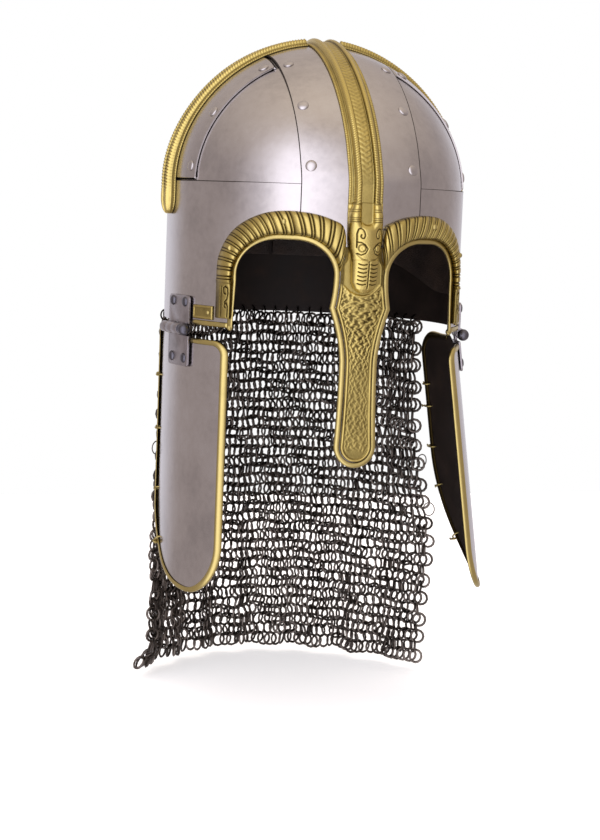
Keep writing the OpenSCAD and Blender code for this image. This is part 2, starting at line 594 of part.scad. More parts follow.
// Pin with a ball on its front end, a collar behind the ball and a peened rear end
ball_at = knuckle_front + 5.6;
module hinge_pin(side) color(dark_steel) at_hinge(side) {
    tube_x(knuckle_rear - 1.6, ball_at, pin);
    tube_x(knuckle_front + 0.3, knuckle_front + 1.3, pin + 1.2);
    translate([ball_at, pin_out, pin_z]) rotate([0, 90, 0])
        rotate_extrude($fn = 48) intersection() {
            circle(pin_ball, $fn = 96);
            translate([0, -pin_ball]) square(2*pin_ball);
        }
    translate([knuckle_rear - 0.3, pin_out, pin_z]) rotate([0, -90, 0]) rivet_head(2.6, 1.6);
}
module hinge_pin_left() hinge_pin(1);
module hinge_pin_right() hinge_pin(-1);

leaf_rivet_r = 2.9;
module leaf_rivets(z) for (x = [-1, 1]) translate([x*leaf_rivet_x, leaf_in + leaf, z])
    rotate([-90, 0, 0]) rivet_head(leaf_rivet_r, 1.5);
module upper_hinge_rivets() color(dark_steel) for (side = [-1, 1]) at_hinge(side) leaf_rivets(leaf_rivet_up);
module cheek_rivets(side) color(dark_steel) swung(side) translate(hinge_foot) rotate([0, 0, hinge_turn])
    leaf_rivets(leaf_rivet_down);
module cheek_rivets_left() cheek_rivets(1);
module cheek_rivets_right() cheek_rivets(-1);

// Cheek pieces

// Outline seen from the side, as y and z: front edge, round tip, long rear curve and top corners
cheek_front = -76.2;
cheek_rear = 35;
cheek_tip_y = -47;
cheek_bottom = -cheek_top - cheek_length;
cheek_front_corner = 9;
// The top edge is higher behind the hinge than in front of it
cheek_top_rear = -cheek_top + 4;
cheek_rear_corner = 15;
cheek_front_bend = 36;
cheek_rear_bend = 92;
cheek_outline = concat(
    [[-46, -cheek_top], [-57, -cheek_top]],
    [for (a = [90:15:180]) [cheek_front + cheek_front_corner + cheek_front_corner*cos(a),
        -cheek_top - cheek_front_corner + cheek_front_corner*sin(a)]],
    [for (z = [-45, -75, -110]) [cheek_front, z]],
    [for (a = [0:15:75]) [cheek_tip_y + (cheek_front - cheek_tip_y)*cos(a),
        cheek_bottom + cheek_front_bend - cheek_front_bend*sin(a)]],
    [for (a = [90:-7.5:0]) [cheek_tip_y + (cheek_rear - cheek_tip_y)*cos(a),
        cheek_bottom + cheek_rear_bend - cheek_rear_bend*sin(a)]],
    [for (z = [-70, -45]) [cheek_rear, z]],
    [for (a = [0:15:90]) [cheek_rear - cheek_rear_corner + cheek_rear_corner*cos(a),
        cheek_top_rear - cheek_rear_corner + cheek_rear_corner*sin(a)]],
    [[4, cheek_top_rear], [-10, cheek_top_rear]]);

// Heights of the wire ties: five on the wearer's left, four on the right
function tie_heights(side) = side > 0 ? [-45, -62, -93, -123, -160] : [-43, -82, -126, -161];
tie_ring = 3.9;
tie_wire = 0.6;
tie_in = 1.2;
// Rear edge of the outline at height z, and the direction away from the plate there
function rear_edge(z) = let(h = (cheek_bottom + cheek_rear_bend - z)/cheek_rear_bend)
    h <= 0 ? cheek_rear : cheek_tip_y + (cheek_rear - cheek_tip_y)*sqrt(1 - h*h);
function rear_out(z) = unit([1, (rear_edge(z - 1) - rear_edge(z + 1))/2]);
// Puts a child at distance e outside the rear edge at height z, X away from the plate, Z outward
module at_rear_edge(z, e) {
    o = rear_out(z);
    y = rear_edge(z) + o[0]*e;
    zz = z + o[1]*e;
    p = side_point(y, zz, -plate/2);
    n = unit(side_point(y, zz, 1) - side_point(y, zz, 0));
    translate(p) rotate([0, 0, atan2(n[1], n[0])]) rotate([0, 90, 0]) rotate([0, 0, 90 + atan2(o[1], o[0])])
        children();
}

module cheek_plate(side) color(steel) swung(side) difference() {
    intersection() {
        translate([0, 0, cheek_bottom - 1]) linear_extrude(cheek_length + 2)
            polygon(concat(plan(0, 44, 116, 60), [for (p = [60:-1:0]) plan(-plate, 44, 116, 60)[p]]));
        translate([20, 0, 0]) rotate([90, 0, 90]) linear_extrude(half_w) polygon(cheek_outline);
    }
    for (z = tie_heights(side)) at_rear_edge(z, -tie_in - tie_ring)
        cylinder(h = 8, r = 1.1, center = true, $fn = 24);
}
module cheek_plate_left() cheek_plate(1);
module cheek_plate_right() cheek_plate(-1);

// The binding runs round the plate from one side of the lower leaf to the other
leaf_front_y = hinge_foot[1] - leaf_width/2*sin(-hinge_turn) - 1;
leaf_rear_y = hinge_foot[1] - knuckle_rear + 0.8;
cheek_path = concat([[leaf_front_y, -cheek_top]], [for (i = [1:len(cheek_outline) - 2]) cheek_outline[i]],
    [[leaf_rear_y, cheek_top_rear]]);
function cheek_row(i, profile) = let(
    p = cheek_path[i], q0 = cheek_path[max(0, i - 1)], q1 = cheek_path[min(len(cheek_path) - 1, i + 1)],
    k = side_stretch(p[0]), run = unit([(q1[0] - q0[0])*k, q1[1] - q0[1]]), out = [run[1]/k, -run[0]])
    [for (c = profile) side_point(p[0] + out[0]*c[0], p[1] + out[1]*c[0], c[1])];
module cheek_binding(side) color(brass) swung(side) {
    lo = -plate - binding_play;
    hi = binding_play;
    shell([for (i = [0:len(cheek_path) - 1]) cheek_row(i, channel_outer(lo, hi))],
        [for (i = [0:len(cheek_path) - 1]) cheek_row(i, channel_inner(lo, hi))]);
}
module cheek_binding_left() cheek_binding(1);
module cheek_binding_right() cheek_binding(-1);

// Wire ties: each passes through a hole in the plate and round its bound rear edge
module cheek_ties(side) color(brass) swung(side) for (z = tie_heights(side))
    at_rear_edge(z, -tie_in) rotate([90, 0, 0]) rotate_extrude($fn = 32)
        translate([tie_ring, 0]) circle(tie_wire, $fn = 16);
module cheek_ties_left() cheek_ties(1);
module cheek_ties_right() cheek_ties(-1);

// Mail

// Plan angles of the curtain's front edges, on the wearer's left and right
mail_from = 109.5;
mail_to = 249;
hanger_count = 28;
hanger_angles = [for (i = [0:hanger_count - 1]) mail_from + 2 + (mail_to - mail_from - 4)*i/(hanger_count - 1)];
hanger_hole_r = 1.1;
hanger_drop = 0.8;
hanger_top = hanger_ring - hanger_drop;
// The ring's wire lies in the bottom of its hole
hole_z = hanger_top + hanger_hole_r - ring_wire - 0.1;
// Puts a child in the wall's middle at plan angle t, X outward
module at_wall(t, z) {
    n = skin(t, 0, 1) - skin(t, 0, 0);
    translate(skin(t, z, -plate/2)) rotate([0, 0, atan2(n[1], n[0])]) children();
}
module hanger_hole(t) at_wall(t, hole_z) rotate([0, 90, 0])
    cylinder(h = 6*plate, r = hanger_hole_r, center = true, $fn = 24);
module mail_hangers() color(dark_steel) for (t = hanger_angles) at_wall(t, -hanger_drop)
    rotate([90, 0, 0]) rotate_extrude($fn = 32) translate([hanger_ring, 0]) circle(ring_wire, $fn = 16);

// The curtain hangs from the rings, spreads below and falls into folds. Its left front edge is drawn
// out where the cheek piece pulls on it, and its right front corner is kicked out at the bottom.
mail_top = -hanger_drop - hanger_ring - ring_wire - 0.3;
mail_folds = 8;
mail_rows = 12;
mail_cols = 46;
mail_spread = 5;
mail_fold = 3.6;
mail_drawn = 12;
mail_kick = 12;
function mail_level(t, z) = let(
    u = (mail_top - z)/(mail_drop + mail_top),
    left = exp(-pow((t - mail_from)/15, 2)),
    right = exp(-pow((mail_to - t)/15, 2)),
    spread = blend(-plate/2, mail_spread, u*1.5)*(1 - 0.6*right),
    fold = mail_fold*sqrt(max(0, u))*u*(1 - 0.6*left - 0.6*right)
        *cos((t - 180)*mail_folds*360/(mail_to - mail_from)),
    drawn = left*(mail_drawn*exp(-pow((z/mail_drop + 0.65)/0.2, 2)) + 9*u*u),
    kick = right*mail_kick*blend(0, 1, (u - 0.92)/0.08))
    spread + fold + drawn + kick;
function mail_grid(d) = [for (i = [mail_rows:-1:0]) let(z = mail_top - (mail_drop + mail_top)*i/mail_rows)
    [for (j = [0:mail_cols]) let(t = mail_from + (mail_to - mail_from)*j/mail_cols)
        skin(t, z, mail_level(t, z) + d)]];
module mail_curtain() color(dark_steel) shell(mail_grid(mail_thickness/2), mail_grid(-mail_thickness/2));

// Liner

liner_thickness = 2.2;
liner_out = -plate - 0.3;
liner_high = brow_height - lap - 1;
// Lower edge of the headband: over the eyes in front, lowest at the ears, higher at the nape
function liner_low(t) = let(a = abs(t)) a < 90 ? blend(eye_top + 6, 23, (a - 46)/32) : blend(23, 44, (a - 92)/40);
function liner_point(t, k, d) = skin(t, liner_low(t) + (liner_high - liner_low(t))*k, d);
module liner_headband() color(leather) {
    ts = [for (i = [0:48]) -179.2 + 358.4*i/48];
    zs = [0, 0.5, 1];
    shell([for (k = zs) [for (t = ts) liner_point(t, k, liner_out)]],
        [for (k = zs) [for (t = ts) liner_point(t, k, liner_out - liner_thickness)]]);
}
// Petals rise from the headband's inner face and meet the lace under the crown
petal_count = 8;
petal_thickness = 1.6;
petal_low = liner_high - 14;
petal_high = skull_height - 26;
petal_rows = 8;
function petal_level(u) = blend(liner_out - liner_thickness - 0.2, -17, u*1.4);
function petal_point(i, u, k, d) = let(
    z = petal_low + (petal_high - petal_low)*sin(90*u),
    half = 180/petal_count*blend(0.94, 0.72, u))
    skin(360/petal_count*(i + 0.5) + half*k, z, petal_level(u) + d);
module liner_petals() color(leather) for (i = [0:petal_count - 1]) shell(
    [for (r = [0:petal_rows]) [for (k = [-1, 0, 1]) petal_point(i, r/petal_rows*0.93, k, 0)]],
    [for (r = [0:petal_rows]) [for (k = [-1, 0, 1]) petal_point(i, r/petal_rows*0.93, k, -petal_thickness)]]);
// The lace runs round under the petals' ends
lace_wire = 1.4;
lace_at = 0.86;
lace_points = 24;
lace_sides = 6;
function lace_point(t, a) = let(
    p = skin(t, petal_low + (petal_high - petal_low)*sin(90*lace_at),
        petal_level(lace_at) - petal_thickness - lace_wire - 0.3),
    o = unit([p[0], p[1], 0]))
    p + o*lace_wire*cos(a) + [0, 0, lace_wire*sin(a)];
module liner_lace() color([0.35, 0.25, 0.16]) polyhedron(
    [for (i = [0:lace_points - 1], j = [0:lace_sides - 1]) lace_point(360*i/lace_points, 360*j/lace_sides)],
    [for (i = [0:lace_points - 1], j = [0:lace_sides - 1]) let(
        a = i*lace_sides, b = (i + 1)%lace_points*lace_sides, k = (j + 1)%lace_sides)
        each [[a + j, b + k, b + j], [a + j, a + k, b + k]]], convexity = 4);

brow_band();
nose_to_nape_band();
lateral_band_left();
lateral_band_right();
infill_front_left();
infill_front_right();
infill_rear_left();
infill_rear_right();
crest_long();
crest_left();
crest_right();
beast_head();
nasal_panel();
eyebrow_left();
eyebrow_right();
eye_binding();
rim_binding_left();
rim_binding_right();
rim_strip_left();
rim_strip_right();
skull_rivets();
brass_rivets();
hinge_upper_left();
hinge_upper_right();
hinge_pin_left();
hinge_pin_right();
upper_hinge_rivets();
hinge_lower_left();
hinge_lower_right();
cheek_plate_left();
cheek_plate_right();
cheek_binding_left();
cheek_binding_right();
cheek_ties_left();
cheek_ties_right();
cheek_rivets_left();
cheek_rivets_right();
mail_curtain();
mail_hangers();
liner_headband();
liner_petals();
liner_lace();
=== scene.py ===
import math

import bpy
import numpy as np
from mathutils import Matrix, Vector


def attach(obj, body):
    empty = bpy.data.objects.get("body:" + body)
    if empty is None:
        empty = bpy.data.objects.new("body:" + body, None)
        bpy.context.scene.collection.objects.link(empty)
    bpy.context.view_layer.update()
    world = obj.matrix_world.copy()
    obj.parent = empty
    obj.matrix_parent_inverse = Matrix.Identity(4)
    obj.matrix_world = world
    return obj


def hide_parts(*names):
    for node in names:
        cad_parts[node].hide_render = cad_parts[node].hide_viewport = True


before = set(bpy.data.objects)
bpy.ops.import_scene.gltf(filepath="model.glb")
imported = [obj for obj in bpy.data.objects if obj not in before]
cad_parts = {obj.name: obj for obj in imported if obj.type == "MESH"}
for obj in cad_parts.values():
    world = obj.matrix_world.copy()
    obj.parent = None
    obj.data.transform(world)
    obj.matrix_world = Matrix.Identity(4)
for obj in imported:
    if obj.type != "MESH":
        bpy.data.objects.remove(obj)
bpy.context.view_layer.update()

# Camera, floor and light. The camera stands a little to the wearer's right of the nose, at eye height.
# The floor is plain and pale; soft light comes from a wide panel at the front left and one overhead.
def new_object(name, data):
    """A new object in the scene."""
    piece = bpy.data.objects.new(name, data)
    bpy.context.scene.collection.objects.link(piece)
    return piece


camera = new_object("camera", bpy.data.cameras.new("camera"))
camera.matrix_world = Matrix((
    (0.962127, -0.006609, -0.272523, -0.37047),
    (-0.269708, 0.122227, -0.955153, -1.28428),
    (0.039623, 0.99248, 0.115815, 0.08381),
    (0, 0, 0, 1)))
camera.data.sensor_width = 36
camera.data.lens = 79.398
camera.data.clip_start = 0.05
bpy.context.scene.camera = camera


class Wire:
    """A socket of a finish. Sums done with it add the Math nodes that they need."""

    def __init__(self, socket):
        self.socket = socket

    @staticmethod
    def add(tree, kind, settings, values, out=0):
        """Adds one node: its settings first, then the values or wires of its sockets."""
        node = tree.nodes.new("ShaderNode" + kind)
        for name, value in settings.items():
            if name == "stops":
                ramp = node.color_ramp
                for place, shade in value[1:-1]:
                    ramp.elements.new(place).color = (*shade, 1)
                for end in (0, -1):
                    place, shade = value[end]
                    ramp.elements[end].position, ramp.elements[end].color = place, (*shade, 1)
            else:
                setattr(node, name, value)
        for name, value in values.items():
            if isinstance(value, Wire):
                tree.links.new(value.socket, node.inputs[name])
            else:
                node.inputs[name].default_value = value
        return Wire(node.outputs[out])

    def new(self, kind, values, settings=None):
        """Adds one node to the tree of this wire."""
        return Wire.add(self.socket.id_data, kind, settings or {}, values)

    def calc(self, operation, *values):
        return self.new("Math", dict(enumerate(values)), {"operation": operation})

    def clamp(self, low, high):
        """Share of the way from low to high, kept between 0 and 1."""
        return self.new("MapRange", {"Value": self, "From Min": low, "From Max": high}, {"clamp": True})

    def mix(self, first, second):
        """A colour between two, by this wire as the share of the second."""
        return self.new("MixRGB", {"Fac": self, "Color1": first, "Color2": second})

    def __add__(self, other): return self.calc("ADD", self, other)
    def __radd__(self, other): return self.calc("ADD", other, self)
    def __sub__(self, other): return self.calc("SUBTRACT", self, other)
    def __rsub__(self, other): return self.calc("SUBTRACT", other, self)
    def __mul__(self, other): return self.calc("MULTIPLY", self, other)
    def __rmul__(self, other): return self.calc("MULTIPLY", other, self)
    def __pow__(self, other): return self.calc("POWER", self, other)


world = bpy.data.worlds.new("studio")
bpy.context.scene.world = world
world.use_nodes = True
sky = world.node_tree
sky.nodes.clear()
aim = Wire.add(sky, "TexCoord", {}, {}, 0)
east = Wire.add(sky, "SeparateXYZ", {}, {"Vector": aim}, 0)
north, up = (Wire(east.socket.node.outputs[i]) for i in (1, 2))
DEGREES = 180/math.pi
turn = east.calc("ARCTAN2", east, 0 - north) * DEGREES
rise = up.calc("ARCSINE", up) * DEGREES
softbox = turn.clamp(-105, -52)**2.2 * (1 - turn.clamp(-25, 32)) * (1 - rise.clamp(38, 72))
far = (north.clamp(0.8, 0.97) + turn.clamp(112, 140)*0.6) * (1 - rise.clamp(8, 34))
tone = rise.clamp(18, 85).mix((0.50, 0.435, 0.425, 1), (1.0, 0.87, 0.74, 1))
tone = far.clamp(0, 1).mix(tone, (0.88, 0.86, 0.94, 1))
tone = softbox.mix(tone, (2.05, 2.0, 2.2, 1))
seen = Wire.add(sky, "LightPath", {}, {}, 0)
backdrop = Wire.add(sky, "Background", {}, {"Color": seen.mix(tone, (1, 1, 1, 1)), "Strength": 1.0})
outlet = sky.nodes.new("ShaderNodeOutputWorld")
sky.links.new(backdrop.socket, outlet.inputs["Surface"])

for name, place, size, power, shade in (
        ("front_left_panel", (-0.95, -1.05, 0.55), (0.7, 0.9), 1.2, (0.98, 0.98, 1)),
        ("overhead_panel", (0.1, 0.2, 1.6), (1.6, 1.2), 9, (1, 0.97, 0.93))):
    light = bpy.data.lights.new(name, "AREA")
    light.shape = "RECTANGLE"
    light.size, light.size_y = size
    light.energy = power
    light.color = shade
    lamp = new_object(name, light)
    lamp.location = place
    lamp.visible_glossy = False
    lamp.rotation_euler = (Vector((0, 0, 0.05)) - Vector(place)).to_track_quat("-Z", "Y").to_euler()


def pick(*pieces):
    """Selects these pieces and nothing else. The first one is the active one."""
    bpy.ops.object.select_all(action="DESELECT")
    for piece in pieces:
        piece.select_set(True)
    if pieces:
        bpy.context.view_layer.objects.active = pieces[0]


pick()
bpy.ops.mesh.primitive_grid_add(x_subdivisions=8, y_subdivisions=8, size=1.8, location=(0, 0, -0.2735))
floor = bpy.context.object
floor.name = floor.data.name = "floor"
bpy.ops.object.transform_apply()
pale = bpy.data.materials.new("pale_floor")
pale.use_nodes = True
for socket, value in (("Base Color", (0.93, 0.93, 0.93, 1)), ("Roughness", 0.9), ("Specular IOR Level", 0.1),
        ("Emission Color", (1, 1, 1, 1)), ("Emission Strength", 0.5)):
    pale.node_tree.nodes["Principled BSDF"].inputs[socket].default_value = value
floor.data.materials.append(pale)
floor.visible_glossy = False
bpy.context.scene.view_settings.view_transform = "Standard"
bpy.context.scene.view_settings.look = "None"

# Brow band: one band of sheet steel round the head, 1.2 mm thick and 97 mm high, cut out over the eyes.
# Its ends lie behind the nose-to-nape band. The skull's surface is worked out here, for all that lies on it.
MM = 0.001
PLATE = 1.2
SEAT = 0.3  # small gap between a plate and what lies on it
BROW_TOP = 97.0
WIDE, LONG, DOME = 104, 120, 98.5  # half width and half length of the rim, height above the brow band
FRONT_BEND, SIDE_BEND = 1.67, 1.92  # how full the dome is toward the nose and toward the ears
BAND = 41.5  # half width of the bands over the crown
TUCK = 31.5  # how near the middle of such a band the plates under it reach
# The top of an eye opening is two quarter arcs: x and z of the middle, and the half width and height of each.
OUTER_X, OUTER_Z, OUTER_WIDE, OUTER_TALL = 52.5, 34, 25.5, 27
INNER_X, INNER_Z, INNER_WIDE, INNER_TALL = 44, 38, 26.1, 23
EYE_SIDE, EYE_TOP = OUTER_X + OUTER_WIDE, OUTER_Z + OUTER_TALL


def capped(x):
    """Kept between 0 and 1."""
    return np.clip(x, 0, 1)


def taper(t, z, d):
    """Share of the rim's plan left at height z, at plan angle t, on the surface moved out by d."""
    h = capped((z - BROW_TOP)/(DOME + d))
    m = FRONT_BEND*np.cos(np.radians(t))**2 + SIDE_BEND*np.sin(np.radians(t))**2
    return (1 - h**m)**(1/m)


def skin(t, z, d=0.0):
    """Point of the skull at plan angle t in degrees (0 nose, 90 wearer's left) and height z."""
    t, z, d = np.broadcast_arrays(np.asarray(t, float), z, d)
    r = taper(t, z, d)
    return np.stack([(WIDE + d)*r*np.sin(np.radians(t)), -(LONG + d)*r*np.cos(np.radians(t)), z], -1)


def lay_out(name, points, wear=None):
    """A grid with its points set in millimetres. The wear at each, with the painted shade of castings and
    bindings, goes in the attribute relief.
    """
    rows, columns = points.shape[:2]
    pick()
    bpy.ops.mesh.primitive_grid_add(x_subdivisions=columns - 1, y_subdivisions=rows - 1, size=1)
    piece = bpy.context.object
    piece.name = piece.data.name = name
    flat = np.empty(len(piece.data.vertices)*3)
    piece.data.vertices.foreach_get("co", flat)
    j = np.rint((flat[0::3] + 0.5)*(columns - 1)).astype(int)
    i = np.rint((flat[1::3] + 0.5)*(rows - 1)).astype(int)
    piece.data.vertices.foreach_set("co", (points[i, j]*MM).ravel())
    if wear is not None:
        layer = piece.data.attributes.new("relief", "FLOAT", "POINT")
        layer.data.foreach_set("value", capped(wear[i, j]).ravel())
    piece.data.update()
    bpy.ops.object.shade_smooth()
    return piece


def edit(piece, *steps):
    """Runs edit-mode operators on all of one piece."""
    pick(piece)
    bpy.ops.object.mode_set(mode="EDIT")
    for step, options in steps:
        bpy.ops.mesh.select_all(action="SELECT")
        step(**options)
    bpy.ops.object.mode_set(mode="OBJECT")


def merging(distance):
    """The step that merges points closer than a distance in metres."""
    return bpy.ops.mesh.remove_doubles, {"threshold": distance}


FACES_OUT = (bpy.ops.mesh.normals_make_consistent, {"inside": False})


def face_out(piece):
    """Turns an open sheet's faces away from the middle of the helmet."""
    mesh = piece.data
    normals, centres = np.empty(len(mesh.polygons)*3), np.empty(len(mesh.polygons)*3)
    mesh.polygons.foreach_get("normal", normals)
    mesh.polygons.foreach_get("center", centres)
    if (normals*(centres - np.tile((0, 0, 0.06), len(mesh.polygons)))).sum() < 0:
        mesh.flip_normals()


def modify(piece, kind, **settings):
    """Adds a modifier to a piece and applies it."""
    pick(piece)
    change = piece.modifiers.new(kind.lower(), kind)
    for name, value in settings.items():
        setattr(change, name, value)
    bpy.ops.object.modifier_apply(modifier=change.name)


def paint_seam_shade(piece, test):
    """Gives the second slot to the faces whose middle passes a test on x, y and z in millimetres. On steel
    this paints shade along a seam as a dark strip.
    """
    middle = np.empty(len(piece.data.polygons)*3)
    piece.data.polygons.foreach_get("center", middle)
    piece.data.polygons.foreach_set("material_index", test(*(middle.reshape(-1, 3).T/MM)).astype(int))


def thicken(piece, depth, edge=0.35, rim=1):
    """Gives a sheet its thickness, inwards, with eased edges. Edges and inner face take the second slot,
    which on steel paints the edges with seam shade.
    """
    face_out(piece)
    for _ in range(2):
        piece.data.materials.append(None)
    modify(piece, "SOLIDIFY", thickness=depth*MM, offset=-1, material_offset=1, material_offset_rim=rim)
    modify(piece, "BEVEL", width=edge*MM, segments=2, material=1, limit_method="ANGLE",
        angle_limit=math.radians(50))


def fit(piece, finish, kind, body, *nodes):
    """Gives a finished piece its material, and puts it in the place of CAD nodes on a body."""
    if len(piece.data.materials) < 2:
        piece.data.materials.clear()
        piece.data.materials.append(finish)
    else:
        piece.data.materials[0] = finish
        # On steel the second slot is near-black: on the inner faces, and on the edges as painted seam shade.
        piece.data.materials[1] = dark_inside_and_seam_shade if finish == steel else finish
    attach(piece, body)
    if nodes:
        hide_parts(*nodes)


def join(name, pieces):
    """One piece out of several."""
    pick(*pieces)
    bpy.ops.object.join()
    pieces[0].name = pieces[0].data.name = name
    return pieces[0]


def new_finish(name, metal=1):
    """An empty finish, its shader and the object's own coordinates."""
    finish = bpy.data.materials.new(name)
    finish.use_nodes = True
    shader = finish.node_tree.nodes["Principled BSDF"]
    shader.inputs["Metallic"].default_value = metal
    return finish, shader, Wire.add(finish.node_tree, "TexCoord", {}, {}, 3)


def noise(place, scale, detail, rough=0.5):
    return place.new("TexNoise", {"Vector": place, "Scale": scale, "Detail": detail, "Roughness": rough})


def scratched(place, rotation, scale, detail):
    """Noise on coordinates that are turned and drawn out, as fine scratches lie."""
    return noise(place.new("Mapping", {"Vector": place, "Rotation": rotation, "Scale": scale}), 1, detail)


def set_finish(shader, share, stops, rough, height=None, strength=0, distance=0):
    """Feeds a shader: colour by share through the stops, roughness, and bump by height."""
    feeds = [("Base Color", share.new("ValToRGB", {"Fac": share}, {"stops": stops})), ("Roughness", rough)]
    if height:
        bump = height.new("Bump", {"Strength": strength, "Distance": distance, "Height": height})
        feeds.append(("Normal", bump))
    for socket, wire in feeds:
        shader.id_data.links.new(wire.socket, shader.inputs[socket])


# Satin-polished steel: faint cross scratches, cloudy handling marks and a slightly planished face.
steel, shader, place = new_finish("satin_steel")
clouds, spots, swell = noise(place, 26, 4, 0.55), noise(place, 210, 3, 0.6), noise(place, 34, 1)
scratches = scratched(place, (0.35, 0.2, 0.5), (90, 1900, 1500), 2)
hairlines = scratched(place, (0.9, 0.7, -0.4), (2100, 80, 1700), 1)
set_finish(shader, clouds * 0.75 + spots * 0.25,
    [(0.3, (0.43, 0.405, 0.40)), (0.5, (0.52, 0.49, 0.48)), (0.72, (0.57, 0.545, 0.54))],
    0.14 + clouds * 0.07 + spots * 0.05 + scratches * 0.05,
    swell * 1.0 + scratches * 0.03 + hairlines * 0.025, 0.16, 0.0012)

# The inner faces are made near-black, browned in clouds. On the eased plate edges, and on the strips picked
# out below, the same near-black is painted shade that draws the laps and seams as dark lines.
dark_inside_and_seam_shade, shader, place = new_finish("dark_inside_and_seam_shade_steel", 0)
clouds = noise(place, 60, 5, 0.6)
set_finish(shader, clouds, [(0.3, (0.009, 0.0055, 0.0042)), (0.55, (0.015, 0.009, 0.0065)),
    (0.8, (0.028, 0.017, 0.011))], 0.5 + clouds * 0.25)
shader.inputs["Specular IOR Level"].default_value = 0.3


def hump(x, half):
    """A round-topped hump of half width half."""
    return np.sqrt(capped(1 - (x/half)**2))


JAMB = math.degrees(math.asin(EYE_SIDE/WIDE))
arc = np.radians(np.linspace(0, 90, 22))
front_x = np.concatenate([OUTER_X + OUTER_WIDE*np.cos(arc), np.linspace(51.4, TUCK, 16)])
arch = np.where(front_x > OUTER_X, OUTER_Z + OUTER_TALL*hump(front_x - OUTER_X, OUTER_WIDE),
    np.where(front_x < INNER_X, INNER_Z + INNER_TALL*hump(INNER_X - front_x, INNER_WIDE), EYE_TOP))
rise = np.linspace(0, 1, 26)[:, None]
# A thin top row, so that the strip of painted seam shade along the top edge stays narrow.
rise[-2] = 0.991
over_eye = skin(np.degrees(np.arcsin(front_x/WIDE)), arch + (BROW_TOP - arch)*rise)
levels = np.concatenate([np.linspace(0, OUTER_Z, 14)[:-1], OUTER_Z + (BROW_TOP - OUTER_Z)*rise[:, 0]])
round_back = skin(np.linspace(JAMB, 360 - JAMB, 190), levels[:, None])
band = join("steel_brow_band", [lay_out("round_back", round_back), lay_out("over_left_eye", over_eye),
    lay_out("over_right_eye", over_eye*[-1, 1, 1])])
edit(band, merging(5e-6), FACES_OUT)
# The top 0.5 mm takes painted shade: a dark line at the seam with the plates above.
paint_seam_shade(band, lambda x, y, z: z > BROW_TOP - 0.5)
thicken(band, PLATE)
fit(band, steel, "polished_steel", "skull", "brow_band")

# Nose-to-nape band: one strip of the same steel over the crown, 83 mm wide. Its front end is drawn out
# into the nasal. It lies on the brow band, steps in above it, and is riveted through the plates under it.
ACROSS = {"front": ((0, -1, 0), (1, 0, 0)), "left": ((1, 0, 0), (0, 1, 0))}


def blend(a, b, u):
    k = capped(u)
    return a + (b - a)*k*k*(3 - 2*k)


def reach(v, d):
    """Distance from the middle of the spring plane to the surface, along v."""
    sx, sy = (v[..., 0]/(WIDE + d))**2, (v[..., 1]/(LONG + d))**2
    sz = np.maximum(v[..., 2], 0)/(DOME + d)
    m = np.where(sx + sy > 1e-12, (FRONT_BEND*sy + SIDE_BEND*sx)/np.maximum(sx + sy, 1e-12), 2)
    return 1/((sx + sy)**(m/2) + sz**m)**(1/m)


def over(s, off, d, way="front"):
    """Point of a strip over the crown. Station s is an angle from 0 to 180, or millimetres down the wall."""
    along, across = (np.array(v, float) for v in ACROSS[way])
    s, off, d = np.broadcast_arrays(np.asarray(s, float), off, d)
    up = np.array([0, 0, 1.0])
    half = abs(along[0])*(WIDE + d) + abs(along[1])*(LONG + d)
    side = abs(across[0])*(WIDE + d) + abs(across[1])*(LONG + d)
    wall = (half*np.sqrt(1 - (off/side)**2))[..., None]*along
    aside = off[..., None]*across
    near = wall + aside + (BROW_TOP + s)[..., None]*up
    far = -wall + aside + (BROW_TOP + 180 - s)[..., None]*up
    a = np.radians(np.clip(s, 0, 180))[..., None]
    v = np.cos(a)*along + np.sin(a)*up
    k = reach(v, d)
    for _ in range(6):
        k = reach(v + across*(off/k)[..., None], d)
    crown = k[..., None]*v + aside + BROW_TOP*up
    return np.where((s <= 0)[..., None], near, np.where((s >= 180)[..., None], far, crown))


TIP_Z, TIP_R = -74.5, 13.7  # middle and radius of the nasal's round tip


def nasal_half(z):
    """Half width of the nasal below the arches of the eyes."""
    root = 17.9 + 2.2*((38 - z)/21.2)**2
    middle = 12.1 + 8*capped((z + 21)/37.8)**1.8
    low = 12.1 + 1.6*capped((-21 - z)/53.5)**2
    tip = np.sqrt(np.clip(TIP_R**2 - np.minimum(z - TIP_Z, 0)**2, 0.01, None))
    return np.where(z > 16.8, root, np.where(z > -21, middle, np.where(z > TIP_Z, low, tip)))


def long_band_in(s):
    return blend(SEAT, -PLATE, np.minimum(s, 180 - s)/9)


def long_band_out(s):
    return long_band_in(s) + PLATE


tip = np.radians([87, 82, 76, 68, 60, 50, 40, 30, 20, 10])
shoulder = np.radians(np.arange(3, 84.5, 4.5))
climb = np.arange(0, 3.9, 0.35)
rows = np.concatenate([
    [(TIP_Z - TIP_R*math.sin(a), TIP_R*math.cos(a)) for a in tip],
    [(z, float(nasal_half(z))) for z in np.arange(TIP_Z, 38.1, 2.5)],
    [(INNER_Z + INNER_TALL*math.sin(a), min(BAND, INNER_X - INNER_WIDE*math.cos(a))) for a in shoulder],
    [(z, BAND) for z in np.linspace(61.2, 96.5, 14)]])
stations = np.concatenate([rows[:, 0] - BROW_TOP, climb, np.arange(4, 176.1, 2), 180 - climb[::-1],
    180 + np.linspace(2, 86, 30)])
widths = np.concatenate([rows[:, 1], np.full(len(stations) - len(rows), BAND)])
BAND_COLUMNS = np.concatenate([[-1, -0.985], np.linspace(-0.95, 0.95, 25), [0.985, 1]])  # in half widths
band = lay_out("steel_crown_band",
    over(stations[:, None], widths[:, None]*BAND_COLUMNS, long_band_out(stations)[:, None]))
# Painted shade: the outer edges of the band above the eyes are dark strips that draw its laps as lines.
paint_seam_shade(band, lambda x, y, z: (np.abs(x) > 40.95) & (z > 61))
thicken(band, PLATE)
fit(band, steel, "polished_steel", "skull", "nose_to_nape_band")

